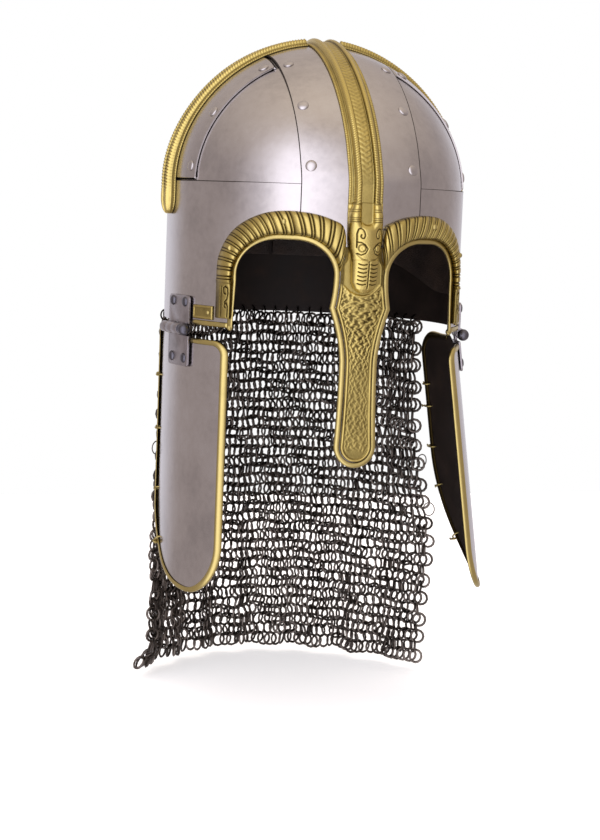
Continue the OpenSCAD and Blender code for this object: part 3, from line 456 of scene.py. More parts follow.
# Lateral bands, left and right: steel strips from the brow band up to the nose-to-nape band. A joggle at
# each end lets them slip behind both, so that their faces lie level with the band over the crown.
TONGUE = -PLATE - 0.5


def duplicate(piece):
    """A copy with a mesh of its own."""
    twin = piece.copy()
    twin.data = piece.data.copy()
    bpy.context.scene.collection.objects.link(twin)
    return twin


def fit_pair(piece, name, finish, kind, node):
    """Fits a piece on the wearer's left, and its mirror image on the right."""
    twin = duplicate(piece)
    twin.name = twin.data.name = name + "_right"
    twin.data.transform(Matrix.Scale(-1, 4, (1, 0, 0)))
    twin.data.flip_normals()
    fit(piece, finish, kind, "skull", node + "_left")
    fit(twin, finish, kind, "skull", node + "_right")


def skin_height(x, y, d):
    """Height of the skull above plan point x, y."""
    sx, sy = (x/(WIDE + d))**2, (y/(LONG + d))**2
    m = (FRONT_BEND*sy + SIDE_BEND*sx)/(sx + sy)
    return BROW_TOP + (DOME + d)*(1 - (sx + sy)**(m/2))**(1/m)


crown_side = math.degrees(math.atan2(float(skin_height(57.5, 0.0, 0.0)) - BROW_TOP, 57.5))
s = np.concatenate([np.linspace(-10, -0.5, 5), np.linspace(0, 0.15, 2), np.linspace(0.25, 1.2, 9),
    np.linspace(2.6, crown_side, 37)])
across = BAND_COLUMNS*BAND
strip = over(s[:, None], across, blend(TONGUE, 0, (s - 0.15)/1.0)[:, None], "left")
x = np.concatenate([[49.6, 48.0, 46.4], np.linspace(45, 42.7, 8), np.linspace(42, TUCK, 6)])
sink = blend(0, TONGUE, (44.6 - x)/2.5)
tongue = np.stack(np.broadcast_arrays(x[:, None], across, skin_height(x[:, None], across, sink[:, None])), -1)
band = lay_out("steel_side_band_left", np.concatenate([strip, tongue]))
thicken(band, PLATE, rim=0)
fit_pair(band, "steel_side_band", steel, "polished_steel", "lateral_band")

# Infill plates: four dished steel plates that close the skull behind the bands. Each laps 10 mm under
# the band on either side of it and under the brow band, and the rivets of the bands hold it.
def angle_at(goal, z, d, axis):
    """Plan angle where the skull at height z reaches x (axis 0) or -y (axis 1)."""
    low, high = np.zeros(z.shape), np.full(z.shape, 90.0)
    for _ in range(26):
        middle = (low + high)/2
        p = skin(middle, z, d)
        beyond = p[..., 0] > goal if axis == 0 else -p[..., 1] > goal
        low, high = ((np.where(beyond, low, middle), np.where(beyond, middle, high)) if axis == 0
            else (np.where(beyond, middle, low), np.where(beyond, high, middle)))
    return middle


SIDE_TUCK = 41.9  # how near the middle of the lateral bands the plates reach
crown = float(skin_height(47.0, BAND, TONGUE))
top = float(skin_height(TUCK, SIDE_TUCK, TONGUE)) - 0.6
z = np.concatenate([np.linspace(87, 102, 6), np.linspace(104, crown - 1, 40),
    np.linspace(crown + 0.8, top, 6)])
edge = np.where((z > crown - 0.5) | (z < 103), SIDE_TUCK, TUCK)
a, b = angle_at(TUCK, z, TONGUE, 0), angle_at(edge, z, TONGUE, 1)
quarter = skin(a[:, None] + (b - a)[:, None]*np.linspace(0, 1, 36), z[:, None], TONGUE)
for name, turn in (("front_left", (1, 1, 1)), ("front_right", (-1, 1, 1)), ("rear_left", (1, -1, 1)),
        ("rear_right", (-1, -1, 1))):
    plate = lay_out("steel_infill_" + name, quarter*turn)
    thicken(plate, PLATE)
    fit(plate, steel, "polished_steel", "skull", "infill_" + name)

# Skull rivets: soft steel, 7.6 mm heads hammered low, three pairs on each limb of the cross. Each head is
# a little out of round and flat on top. They fix the bands to each other and to the plates behind.
def turned(name, profile, steps=28):
    """A solid turned about the Z axis from a profile of radius and height."""
    mesh = bpy.data.meshes.new(name)
    mesh.from_pydata([(r*MM, 0, h*MM) for r, h in profile], [(i, i + 1) for i in range(len(profile) - 1)], [])
    piece = new_object(name, mesh)
    spin = {"steps": steps, "angle": 2*math.pi, "center": (0, 0, 0), "axis": (0, 0, 1)}
    edit(piece, (bpy.ops.mesh.spin, spin), merging(1e-6), FACES_OUT)
    bpy.ops.object.shade_smooth()
    return piece


def shift(x, y, z):
    """Matrix that moves by millimetres."""
    return Matrix.Translation(Vector((x, y, z))*MM)


def stand(point, out, turn=0.0):
    """Matrix that puts a piece made on +Z at a point, with its axis along out."""
    return (shift(*point) @ Vector(out).to_track_quat("Z", "Y").to_matrix().to_4x4()
        @ Matrix.Rotation(turn, 4, "Z"))


def copies(name, master, places):
    """Copies of a master at each place, joined to one piece. The master goes."""
    made = []
    for place in places:
        made.append(duplicate(master))
        made[-1].data.transform(place)
    bpy.data.objects.remove(master)
    return join(name, made)


def out_of(s, off, way):
    """A point of a strip and the direction away from the skull there."""
    p, e = over(s, off, long_band_out(s) if way == "front" else 0, way), 0.4
    n = np.cross(over(s, off + e, 0, way) - over(s, off - e, 0, way),
        over(s + e, off, 0, way) - over(s - e, off, 0, way))
    n = n/np.linalg.norm(n)
    return p, n*np.sign((n*p).sum())


luck = np.random.default_rng(7)  # chance, the same in every run
RIVET_AT = 35.1  # distance of the rivets from the middle of a band


def hammered(p, n):
    """Place of one head at p, turned about n and flattened a little by chance."""
    return stand(p + n*0.15, n, luck.uniform(0, 6)) @ Matrix.Scale(luck.uniform(0.94, 1.02), 4, (1, 0, 0))


head = turned("rivet", [(0, 1.3), (0.9, 1.28), (1.9, 1.18), (2.8, 0.94), (3.4, 0.62), (3.75, 0.25), (3.8, 0),
    (3.7, -0.3), (0, -0.3)])
places = []
for s in (6, 31, 61):
    for end in (s, 180 - s):
        for off in (-RIVET_AT, RIVET_AT):
            places.append(hammered(*out_of(end, off, "front")))
    for off in (-RIVET_AT, RIVET_AT):
        p, n = out_of(s*0.94, off, "left")
        for flip in ([1, 1, 1], [-1, 1, 1]):
            places.append(hammered(p*flip, n*flip))
fit(copies("steel_skull_rivets", head, places), steel, "polished_steel", "skull", "skull_rivets")

# Crest strips: cast brass, 23.6 mm wide. Each has a thin flange with a beaded edge, two rounded ridges
# cut with rope notches, and a sunk field with a plait between them. One runs from nose to nape, and one
# comes up from each side.
def brass_finish(name, dark, bright, polish, grain):
    """Old brass: bright where rubbed, brown in the hollows as patina and as painted shade, with a cast skin.
    """
    finish, shader, place = new_finish(name)
    wear_and_shade = Wire.add(finish.node_tree, "Attribute", {"attribute_name": "relief"}, {}, 2)
    clouds, pits = noise(place, 60, 4, 0.6), noise(place, 900, 3, 0.65)
    high = (wear_and_shade * 1.05 + (clouds - 0.5) * 0.55 + (pits - 0.5) * 0.3).clamp(0.08, 0.95)
    middle = tuple(0.45*a + 0.55*b for a, b in zip(dark, bright))
    set_finish(shader, high, [(0, dark), (0.42, middle), (1, bright)],
        polish + 0.22 - high * 0.2 + pits * 0.12, pits + clouds * 0.6, grain, 0.0004)
    return finish


brass = brass_finish("cast_brass", (0.06, 0.04, 0.011), (0.60, 0.475, 0.155), 0.2, 0.35)
CREST = 11.8  # half width of a crest strip
ACROSS_BACK = np.array([[1, 0, -1]])  # the three columns of a casting's back


def stations_by_length(first, last, step, way, level=3.0):
    """Stations a step apart along the middle of a strip, and their distance from the first."""
    s = np.linspace(first, last, 6000)
    path = over(s, 0, level, way)
    run = np.concatenate([[0], np.cumsum(np.linalg.norm(np.diff(path, axis=0), axis=1))])
    length = np.linspace(0, run[-1], int(round(run[-1]/step)) + 1)
    return np.interp(length, run, s), length


def closed(name, points, wear, caps=True):
    """A closed piece from rows of points that run round it. Its seam is joined and its ends are capped."""
    piece = lay_out(name, *(np.concatenate([grid, grid[:, :1]], 1) for grid in (points, wear)))
    ends = [(bpy.ops.mesh.fill_holes, {"sides": 0})] if caps else []
    edit(piece, merging(2e-6), *ends, FACES_OUT)
    return piece


def casting(name, top, under, wear_and_shade, below=0.3):
    """A closed brass piece from its face and its back, with the wear and painted shade of each."""
    back = np.full((len(top), 3), below)
    return closed(name, np.concatenate([top, under], 1), np.concatenate([wear_and_shade, back], 1))


def mound(x, half):
    """A soft mound, 1 in the middle."""
    return np.exp(-(x/half)**2)


def plait(along, off, half, pitch):
    """Height, 0 to 1, of a three-strand plait that runs along a field."""
    best = np.zeros(np.broadcast(along, off).shape)
    for k in range(3):
        a = 2*math.pi*(along/pitch + k/3)
        slope = half*0.72*2*math.pi/pitch*np.cos(a)
        away = np.abs(off - half*0.72*np.sin(a))/np.sqrt(1 + slope**2)
        best = np.maximum(best, hump(away, half*0.27)*(0.66 + 0.34*np.sin(2*a)))
    return best


def crest(name, first, last, way, round_first, round_last, notched):
    """A crest strip from station first to last. notched(length) gives how deep its rope notches are."""
    s, length = stations_by_length(first, last, 0.42, way)
    low = 180 - s if way == "front" else s
    tall = blend(6.3, 4.8, np.minimum(s, low)/36)[:, None]
    end = np.minimum(length if round_first else 99, length[-1] - length if round_last else 99)
    w = hump(1 - capped((end + 0.15)/CREST), 1)[:, None]
    o = np.concatenate([np.linspace(CREST, 9, 9), np.linspace(8.75, 4.5, 16), np.linspace(4.2, 0, 11)])
    o = np.concatenate([-o, o[-2::-1]])[None, :]
    a, run = np.abs(o), length[:, None]
    field = 0.55*tall
    ridge_out = 0.9 + (tall - 0.9)*capped(1 - capped((a - 6.3)/2.35)**2.3)**0.5
    ridge_in = field + (tall - field)*hump(np.clip(5.7 - a, 0, 1.25), 1.25)
    h = np.where(a >= 9, 0.85, np.where(a >= 6.3, ridge_out, np.where(a >= 5.7, tall, ridge_in)))
    h = h + 0.75*hump(a - 9.15, 0.5)
    beads = np.cos(2*math.pi*run/1.7)*0.5 + 0.5
    h = h + 0.55*beads*hump(a - 10.95, 0.75)
    on_ridge = capped(1 - np.abs(a - 6.5)/2.3)**0.5
    pitch = 1.7 if way == "front" else 2.1
    notch = (0.5 - 0.5*np.cos(2*math.pi*(run + 0.35*(a - 6.5))/pitch))**2*on_ridge*notched(run)
    h = h - 0.95*notch
    inside = capped((4.4 - a)/0.5)
    weave = plait(run, o, 4.1, 11.5)*inside*(capped((run - 12)/16) if way == "front" else 1)
    grain = 0.5*np.sin(run*2.9 + 2.1*np.sin(o*1.7))*np.sin(o*3.1 + run*0.7)*inside
    h = h + 0.5*weave - 0.25*inside + 0.08*grain
    seat = (long_band_out(s) + SEAT if way == "front" else np.full(len(s), SEAT))[:, None]
    top = over(s[:, None], o*w, seat + h*(0.4 + 0.6*w), way)
    under = over(s[:, None], CREST*ACROSS_BACK*w, seat, way)
    # Bright on the ridges and beads; dark in the rope notches, the field and the grooves beside the ridges,
    # as patina and as painted shade.
    wear_and_shade = np.where(a < 4.6, 0.66 + 0.35*weave - 0.15*(weave > 0),
        np.where(a > 8.8, 0.5 + 0.4*beads*(a > 10.2), 1.15))
    wear_and_shade = wear_and_shade - 0.95*notch - 0.6*mound(a - 8.75, 0.42) - 0.55*mound(a - 4.6, 0.42)
    return casting(name, top, under, wear_and_shade + 0*run)


strip = crest("brass_crest_long", -11, 253, "front", False, True,
    lambda run: 0.12 + 0.88*capped(1 - run/75)**0.6)
fit(strip, brass, "brass", "skull", "crest_long")
strip = crest("brass_crest_left", -23.5, math.degrees(math.atan2(DOME, 12.4)), "left", True, False,
    lambda run: capped((run - 14)/8))
fit_pair(strip, "brass_crest", brass, "brass", "crest")

# Beast head: a cast brass head where the long crest comes down to the nasal's root. The ridges end in
# ringed collars; then come scroll ears, round eyes, and a snout of two columns of bars. No fixing shows.
def stroke(x, z, path, half):
    """1 on the line through the points of path, falling to 0 at half from it."""
    best = np.full(np.broadcast(x, z).shape, 1e9)
    for (x0, z0), (x1, z1) in zip(path, path[1:]):
        dx, dz = x1 - x0, z1 - z0
        k = capped(((x - x0)*dx + (z - z0)*dz)/(dx*dx + dz*dz))
        best = np.minimum(best, np.hypot(x - x0 - k*dx, z - z0 - k*dz))
    return 0.5 - 0.5*np.cos(math.pi*capped(1 - best/half))


def front_point(x, z, d):
    """Point on the upright wall in front, at x and height z."""
    return over(z - BROW_TOP, x, d)


ON_BAND = 1.8  # level of what lies on the nose-to-nape band where that lies on the brow band
# Each row: a height, the half width there, and how far the head stands out.
sections = np.array([(27.5, 3.4, 3.6), (30, 6.6, 5.6), (34, 8.6, 7.0), (46, 9.1, 8.6), (52.5, 9.7, 9.4),
    (56, 11, 9.8), (63, 11.6, 9.6), (72, 11.8, 8.6), (80, 11.9, 7.4), (86, 11.8, 6.6)])
z = np.linspace(27.5, 85.95, 220)[:, None]
half = np.interp(z, sections[:, 0], sections[:, 1])
tall = np.interp(z, sections[:, 0], sections[:, 2])
x = -half*np.cos(np.linspace(0, math.pi, 92))[None, :]
foot = np.where(z < 49, 2.9, ON_BAND)
dome = capped(1 - (x/half)**2)**(0.26 + 0.09*blend(0, 1, (z - 48)/10))
a = np.abs(x)
wide = 3.05 + 0.95*blend(0, 1, (85.5 - z)/8)
crest_top = np.maximum(np.where(a < 4.2, 0.55, 0.12), hump(a - 3.6 - wide, wide)**0.7)
up = blend(0, 1, (z - 68)/7)
share = dome*(1 - up) + crest_top*up
slot = capped(4.5 - np.hypot(x, np.minimum(z - 75.6, 0)))
share = share - 0.42*slot*(1 - up)
lean = x - (1.4 + 0.7*blend(0, 1, (z - 46)/10))*dome
side = np.abs(lean)
ear = [(9.0, 57), (9.1, 66), (8.2, 69.0), (6.6, 69.6), (5.2, 68.6), (4.3, 66.8), (3.9, 64.9), (4.7, 63.2),
    (5.9, 63.1), (6.8, 64.2), (6.4, 65.5)]
lid = [(8.6, 60.6), (6.2, 60.4), (3.9, 59.0), (2.0, 56.4), (3.4, 53.4), (5.9, 52.2), (8.4, 53.2)]
carved = 0.8*stroke(side, z, ear, 0.7) + 0.85*stroke(side, z, lid, 0.7)
ring = np.hypot(side - 5.7, z - 56.7)
carved = carved + 0.6*mound(ring - 2.35, 0.38) - 0.35*hump(ring, 1.9) + 0.45*mound(ring, 0.7)
for bar in (46.2, 43.6, 41.0, 38.4, 35.8, 33.2):
    line = [(1.3, bar), (3.5, bar - 0.45), (5.6, bar - 0.1), (6.8, bar + 0.35)]
    carved = carved + 0.95*stroke(side, z, line, 0.62)
carved = carved + 0.9*stroke(lean, z, [(0, 46.6), (0, 40), (0, 30.5)], 0.75)
carved = carved + 0.6*mound(np.hypot(lean, z - 48), 0.7)
carved = carved + 0.45*stroke(side, z, [(1.2, 48.8), (4, 49.2), (7.4, 51.5), (9, 53)], 0.8)
rings = 0
for groove, deep in ((85.2, 0.6), (81.7, 0.5), (80.3, 0.5), (76.3, 0.5), (75.0, 0.5), (73.7, 0.6)):
    rings = rings + deep*mound(z - groove, 0.34)
rings = rings - 0.35*mound(z - 83.4, 1.2) - 0.35*mound(z - 78.3, 1.2)
carved = carved + rings*capped((a - 4.0)/0.8)
fade = capped((1 - (x/half)**2)*4)
h = 0.5 + (tall - 0.5)*share - carved*fade*0.8
top = front_point(x, z, foot + np.maximum(h, 0.4))
under = front_point(ACROSS_BACK*half*0.9, z, foot)
# Dark in the carved lines, the slot and at the sides where the head meets the band: patina and painted shade.
wear_and_shade = 0.92 - 1.45*carved*fade - 0.3*slot - 0.25*(1 - fade)
fit(casting("brass_beast_head", top, under, wear_and_shade), brass, "brass", "skull", "beast_head")

# Nasal panel: a chased brass plate on the nasal, inside the binding. A raised border runs round it, and
# strands are woven over and under each other between the borders, turning back at each side.
PANEL_TIP = 10.7  # radius of its round lower end
tip = np.radians(np.arange(89, 0, -3))
z = np.concatenate([TIP_Z - PANEL_TIP*np.sin(tip), np.arange(TIP_Z, 57.1, 0.42)])[:, None]
half = np.where(z < TIP_Z, np.sqrt(np.clip(PANEL_TIP**2 - (z - TIP_Z)**2, 0.01, None)),
    np.where(z > 38, 14.9 - 2.3*blend(0, 1, (z - 44)/6), nasal_half(z) - 3.0))
u = np.sin(np.linspace(-math.pi/2, math.pi/2, 74))[None, :]
x = u*half
away = np.where(z < TIP_Z, PANEL_TIP - np.hypot(x, z - TIP_Z), (half - np.abs(x))*0.97)
border = hump(away - 1.15, 0.85)*capped((33 - z)/4)
inner = np.clip(half - 2.2, 0.5, None)
a = np.arcsin(np.clip(x/inner, -1, 1))/(math.pi/2)
wander = 0.06*np.sin(z*0.83) + 0.05*np.sin(z*1.9 + 1)
a = a + wander*np.cos(a*4.2) + 0.03*np.sin(z*2.7 + a*9)
v = z/22.0 + 0.05*np.sin(a*7 + z*0.5)
gap = 2/6
right, left = np.mod(a - v + gap/2, gap) - gap/2, np.mod(a + v + gap/2, gap) - gap/2
turns_r, turns_l = np.floor((a - v)/gap + 0.5), np.floor((a + v)/gap + 0.5)
wide = 0.072
over_r = hump(right, wide)*(0.68 + 0.32*np.cos(math.pi*((a + v)/gap + turns_r)))
over_l = hump(left, wide)*(0.68 - 0.32*np.cos(math.pi*((a - v)/gap + turns_l)))
weave = np.maximum(over_r, over_l)*capped((away - 2.1)/0.5)
arcs = stroke(np.abs(x), z, [(14.2, 16.2), (11, 19), (7.5, 20.9), (3.5, 21.6), (0, 20.2)], 0.8)
arcs = arcs + stroke(np.abs(x), z,
    [(10.7, 17), (7.5, 18.6), (4.3, 18.8), (2.6, 17.4), (3.2, 15.6), (5.4, 15.2)], 0.75)
pearls = sum(mound(np.hypot(np.abs(x) - px, z - pz), 0.75) for px, pz in
    ((9.6, 12.2), (6.2, 16.6), (12.4, 16.4), (0, 9.5), (2.6, 5), (6.2, 24.2), (10.6, 27.2)))
arch = stroke(x, z,
    [(-13, 31.5), (-9, 27.6), (-4.5, 25.4), (0.6, 24.7), (5.5, 26), (9.2, 29), (12.5, 32.5)], 1.1)
chest = capped((24.5 - z + 0.045*x*x)/1.2)
calm = capped((z + 79)/2)
calm = calm*(0.45 + 0.55*blend(0, 1, (z + 30)/20))
weave = np.maximum(weave*(1 - 0.8*capped(arcs + pearls)), np.maximum(arcs, pearls*1.1))*chest*calm
h = 0.8 + 1.0*border + 0.72*weave + 0.7*arch*(away > 2) - 0.2*capped((away - 2)/0.4)
h = np.where(away < 0.25, np.minimum(h, 0.8), h)
top = front_point(x, z, ON_BAND + h)
under = front_point(ACROSS_BACK*half, z, ON_BAND)
# Bright on the border, strands and arches; dark in the field between them, as patina and painted shade.
wear_and_shade = np.where(away < 2.05, 0.15 + 0.7*border,
    0.16 + 0.75*weave + 0.5*arch + 0.36*(1 - chest) + 0.2*(1 - calm))
fit(casting("brass_nasal_panel", top, under, wear_and_shade), brass, "brass", "skull", "nasal_panel")

# Eyebrows: heavy half-round brass, cast with pairs of slanting grooves, one over each eye. The outer end
# is a plain box with a scroll, and the inner end tucks in beside the beast head. Two pins hold each.
def front_stretch(x):
    """Length on the wall for each millimetre of x."""
    c = np.sqrt(1 - (x/WIDE)**2)
    return np.sqrt(1 + (LONG/WIDE*x/WIDE/c)**2)


def smooth_path(knots, step):
    """A smooth line through knots, with points about a step apart in its first two values."""
    knots = np.asarray(knots, float)
    ends = np.concatenate([[2*knots[0] - knots[1]], knots, [2*knots[-1] - knots[-2]]])
    out = []
    for p0, p1, p2, p3 in zip(ends, ends[1:], ends[2:], ends[3:]):
        count = max(2, int(round(np.hypot(*(p2 - p1)[:2])/step)))
        k = np.arange(count)[:, None]/count
        out.append(0.5*(2*p1 + (p2 - p0)*k + (2*p0 - 5*p1 + 4*p2 - p3)*k**2 + (3*p1 - p0 - 3*p2 + p3)*k**3))
    return np.concatenate(out + [knots[-1:]])


BROW_GAP = 2.6  # from the eye opening to the eyebrow
brow_out = 85.9  # x of the eyebrow's straight outer side


def arch_edge(a):
    """Point beside the eye opening: a below 0 goes down its side, 0 to 190 over it to the nasal."""
    if a < 0:
        return EYE_SIDE + BROW_GAP/1.74, OUTER_Z + a
    if a < 90:
        c, k = math.cos(math.radians(a)), math.sin(math.radians(a))
        wide = OUTER_WIDE + BROW_GAP/float(front_stretch(OUTER_X + OUTER_WIDE*c))
        return OUTER_X + wide*c, OUTER_Z + (OUTER_TALL + BROW_GAP)*k
    if a < 100:
        return OUTER_X - 0.85*(a - 90), EYE_TOP + BROW_GAP
    c, k = math.cos(math.radians(a - 100)), math.sin(math.radians(a - 100))
    return INNER_X - (INNER_WIDE + BROW_GAP)*k, INNER_Z + (INNER_TALL + BROW_GAP)*c


# Each row: where a rib meets the inner edge, its outer end in x and z, its height, and its number.
ribs = [(-28.4, 85.8, 5.6, 3.2, -4), (-27, brow_out, 7, 4.7, -3.8), (-16, brow_out, 18, 5.0, -2),
    (-6, brow_out, 28, 5.2, -0.2), (-3.4, 86.1, 30.6, 6.1, 0.55), (-1, brow_out, 33, 5.3, 1),
    (9.6, brow_out, 39.5, 5.5, 2), (19, 85.4, 46, 5.7, 3), (28, 84.0, 52, 5.9, 4), (36, 82.1, 57.6, 6, 5),
    (44.5, 79.8, 62.4, 6.1, 6), (52, 77.1, 66.3, 6.2, 7), (60, 73.9, 69.7, 6.3, 8),
    (67.5, 70.2, 72.6, 6.4, 9), (75, 66, 75.1, 6.5, 10), (83.4, 61.1, 77.2, 6.6, 11),
    (92.8, 55.6, 78.5, 6.6, 12), (98.1, 49.8, 79, 6.6, 13), (109, 43.5, 78.9, 6.7, 14),
    (120.6, 36.9, 78.3, 6.8, 15), (131.5, 29.8, 77, 7, 16), (143.4, 21.8, 74.4, 7, 17),
    (159.4, 14.9, 70.6, 6.6, 18), (176, 12.7, 60.5, 5.2, 19), (184, 13.3, 50.5, 2.6, 19.7)]
knots = []
for a, ux, uz, tall, number in ribs:
    lx, lz = arch_edge(a)
    knots.append(((lx + ux)/2, (lz + uz)/2, (ux - lx)/2, (uz - lz)/2, tall, number))
path = smooth_path(knots, 0.32)
half = np.hypot(path[:, 2]*front_stretch(path[:, 0]), path[:, 3])[:, None]
cut = np.linspace(0, math.pi, 34)[None, :]
o = -half*np.cos(cut)
x, z = path[:, 0:1] - path[:, 2:3]*np.cos(cut), path[:, 1:2] - path[:, 3:4]*np.cos(cut)
base = blend(ON_BAND, SEAT, (np.abs(path[:, 0:1]) - 43.5)/5)
number = path[:, 5:6]
ribbed = capped((number - 0.62)/0.1)
t = (number - np.round(number))*6.3
pair = mound(np.abs(t) - 1.05, 0.38)
bulge = hump(np.abs(t) - 3.15, 2.0)
wire = hump(t, 0.75)
lip = hump(number - 0.33, 0.19)
up = path[:, 1:2] - 5.6
small_curl = [(-2.6, 1.5), (-2.6, 8.4), (-1.4, 10.6), (0.2, 10), (0.4, 8.2), (-0.8, 7.4)]
large_curl = [(0.6, 11), (-1.8, 13.2), (-2.8, 17), (-2.2, 20.4), (0, 21.8), (1.7, 20.4), (1.2, 17.2),
    (-0.4, 16.6)]
scroll = stroke(o, up, small_curl, 0.8) + stroke(o, up, large_curl, 0.8) \
    + stroke(o, up, [(3.4, 1.5), (3.4, 21.6)], 0.7)
flat = 1 - blend(0, 1, (number + 0.4)/0.8)
shape = np.sin(cut)**(0.7 - 0.36*flat)
edge = capped(np.sin(cut)*3)
carving = -0.95*pair*ribbed + 0.3*bulge*ribbed + 0.15*wire*ribbed + 0.6*lip - 0.75*scroll*flat*(number < 0)
h = 0.3 + (path[:, 4:5] - 0.45)*shape + carving*edge
top = front_point(x, z, base + np.maximum(h, 0.1))
under = front_point(path[:, 0:1] + path[:, 2:3]*ACROSS_BACK, path[:, 1:2] + path[:, 3:4]*ACROSS_BACK, base)
# Bright on the bulges; dark in the paired grooves, the scroll and along the foot of each side, as patina and
# painted shade.
wear_and_shade = 0.5 + 0.34*bulge*ribbed + 0.2*wire*ribbed - 0.62*pair*ribbed - 0.9*scroll*flat - 0.3*(1 - np.sin(cut))
brow = casting("brass_eyebrow_left", top, under, wear_and_shade, 0.2)
fit_pair(brow, "brass_eyebrow", brass, "brass", "eyebrow")

# Edge bindings: brass strip folded to a U over the raw edge of the steel and hammered close. One runs
# round both eyes and the nasal, and a short one covers the rim between each eye and its hinge.
# Its dark end also colours the painted shade on the bindings' inner legs.
binding_brass = brass_finish("bound_brass", (0.045, 0.031, 0.010), (0.55, 0.445, 0.165), 0.24, 0.22)


def channel(low, high, fold=0.0):
    """Section of a binding on steel with faces at levels low and high: e away from the steel, and level."""
    low, high = np.asarray(low, float)[:, None], np.asarray(high, float)[:, None]
    a = np.linspace(-math.pi/2, math.pi/2, 13)[None, :]
    middle, half = (low + high)/2, (high - low)/2 + 0.95
    e = np.concatenate([[[-2.7, -1.9]], -0.9 + 1.82*np.cos(a), [[-1.9, -2.7]],
        [[-2.7, -1.4, 0.22, 0.22, -1.4, -2.7]]], 1)
    e = np.where(e > -1.8, -1.8 + (e + 1.8)*(1 + np.reshape(fold, (-1, 1))/2.72), e) + 0*low
    d = np.concatenate([low - 0.5, low - 0.78, middle + half*np.sin(a), high + 0.78, high + 0.5,
        high, high, high, low, low, low], 1)
    return e, d


def lustre(piece, value):
    """Gives a whole piece one value of wear."""
    layer = piece.data.attributes.get("relief") or piece.data.attributes.new("relief", "FLOAT", "POINT")
    layer.data.foreach_set("value", np.full(len(piece.data.vertices), value))


def across_path(path, stretch):
    """Unit directions across a path of x and z, to its right as it runs."""
    k = stretch(path[:, 0])
    step = np.gradient(path[:, :2], axis=0)
    step[:, 0] *= k
    step /= np.linalg.norm(step, axis=1)[:, None]
    return np.stack([step[:, 1]/k, -step[:, 0]], 1)


def on_arc(x, z, wide, tall, a):
    """Points at the angles a, in degrees, on an elliptic arc about x, z."""
    return np.stack([x + wide*np.cos(np.radians(a)), z + tall*np.sin(np.radians(a))], 1)


a = np.linspace(0, 90, 24)
outer = on_arc(OUTER_X, OUTER_Z, OUTER_WIDE, OUTER_TALL, a)
inner = on_arc(INNER_X, INNER_Z, -INNER_WIDE, INNER_TALL, a[::-1])
z = np.concatenate([np.arange(36, 17, -2.0), [16.8], np.arange(14, -74, -3.0)])
half_path = np.concatenate([[(EYE_SIDE, z) for z in np.arange(-0.9, 33, 2.5)], outer, inner[1:],
    np.stack([nasal_half(z), z], 1), on_arc(0, TIP_Z, TIP_R, -TIP_R, np.arange(0, 91, 6.0))])
path = np.concatenate([half_path, (half_path*[-1, 1])[-2::-1]])
side = across_path(path, front_stretch)
low = blend(SEAT, -PLATE, (np.abs(path[:, 0]) - 30)/3) - 0.22
high = blend(SEAT + PLATE, 0, (np.abs(path[:, 0]) - BAND)/3.5) + 0.22
fold = np.where(np.abs(path[:, 0]) > OUTER_X, 1.2 + 2.1*capped(path[:, 1]/OUTER_Z), 0)
fold = fold*blend(1, 0, (path[:, 1] - 30)/30)
e, d = channel(low, high, fold)
# Tones round the section: the rounded fold and outer leg bright from wear, the inner leg on the inside of the
# helmet dark as painted shade, and the hidden inside of the fold dark.
fold_wear_and_leg_shade = np.concatenate([[0, 0, 0.05, 0.15, 0.35, 0.6], np.full(9, 0.9), [0.85, 0.6], np.zeros(6)])
binding_wear_and_shade = np.repeat(fold_wear_and_leg_shade[None, :], len(path), 0)
folded = front_point(path[:, 0:1] - side[:, 0:1]*e, path[:, 1:2] - side[:, 1:2]*e, d)
piece = closed("brass_eye_binding", folded, binding_wear_and_shade)
corner = turned("corner", [(0, 2.1), (0.8, 2.0), (1.6, 1.5), (2.1, 0.8), (2.3, 0), (2.1, -0.8), (1.6, -1.5),
    (0.8, -2.0), (0, -2.1)], 20)
share = EYE_SIDE/WIDE
out = Vector((LONG*share, -WIDE*math.sqrt(1 - share**2), 0))
spot = front_point(77.9, -0.2, -0.6)
corners = copies("corners", corner, [stand(spot*[way, 1, 1], out*Vector((way, 1, 1))) for way in (1, -1)])
lustre(corners, 0.75)
piece = join("brass_eye_binding", [piece, corners])
fit(piece, binding_brass, "brass", "skull", "eye_binding")

HINGE_AT = 76  # plan angle of the hinges
rim_to = HINGE_AT - 19.2/(LONG*math.pi/180)  # where the brass on the rim ends, before the hinge
t = np.linspace(JAMB + 1.0, rim_to, 22)
e, d = channel(np.full(22, -PLATE - 0.22), np.full(22, 0.22))
# The same tones as the eye binding: the inner leg dark with painted shade.
piece = closed("brass_rim_binding_left", skin(t[:, None], -e, d), binding_wear_and_shade[:22])
fit_pair(piece, "brass_rim_binding", binding_brass, "brass", "rim_binding")

# Rim strips: a short bronze-brown brass strip on the rim between each eyebrow's foot and the hinge, with
# a raised border and one small rivet. The same rivet, twice, pins each eyebrow.
strip_from = math.degrees(math.asin(brow_out/WIDE)) + 0.8
STRIP_LOW, STRIP_MIDDLE, STRIP_HIGH = 3.6, 8.3, 13.0
t = np.linspace(strip_from, rim_to, 60)[:, None]
z = np.linspace(STRIP_LOW, STRIP_HIGH, 40)[None, :]
away = np.minimum(np.minimum(z - STRIP_LOW, STRIP_HIGH - z), np.minimum(t - strip_from, rim_to - t)*2.05)
h = 0.62 + 0.55*hump(away - 1.0, 0.75)
top = skin(t, z, SEAT + np.where(away < 0.2, 0.4, h))
under = skin(t, np.array([[STRIP_HIGH, STRIP_MIDDLE, STRIP_LOW]]), SEAT)
piece = casting("brass_rim_strip_left", top, under, 0.42 + 0.3*hump(away - 1.0, 0.75), 0.2)
fit_pair(piece, "brass_rim_strip", brass, "brass", "rim_strip")

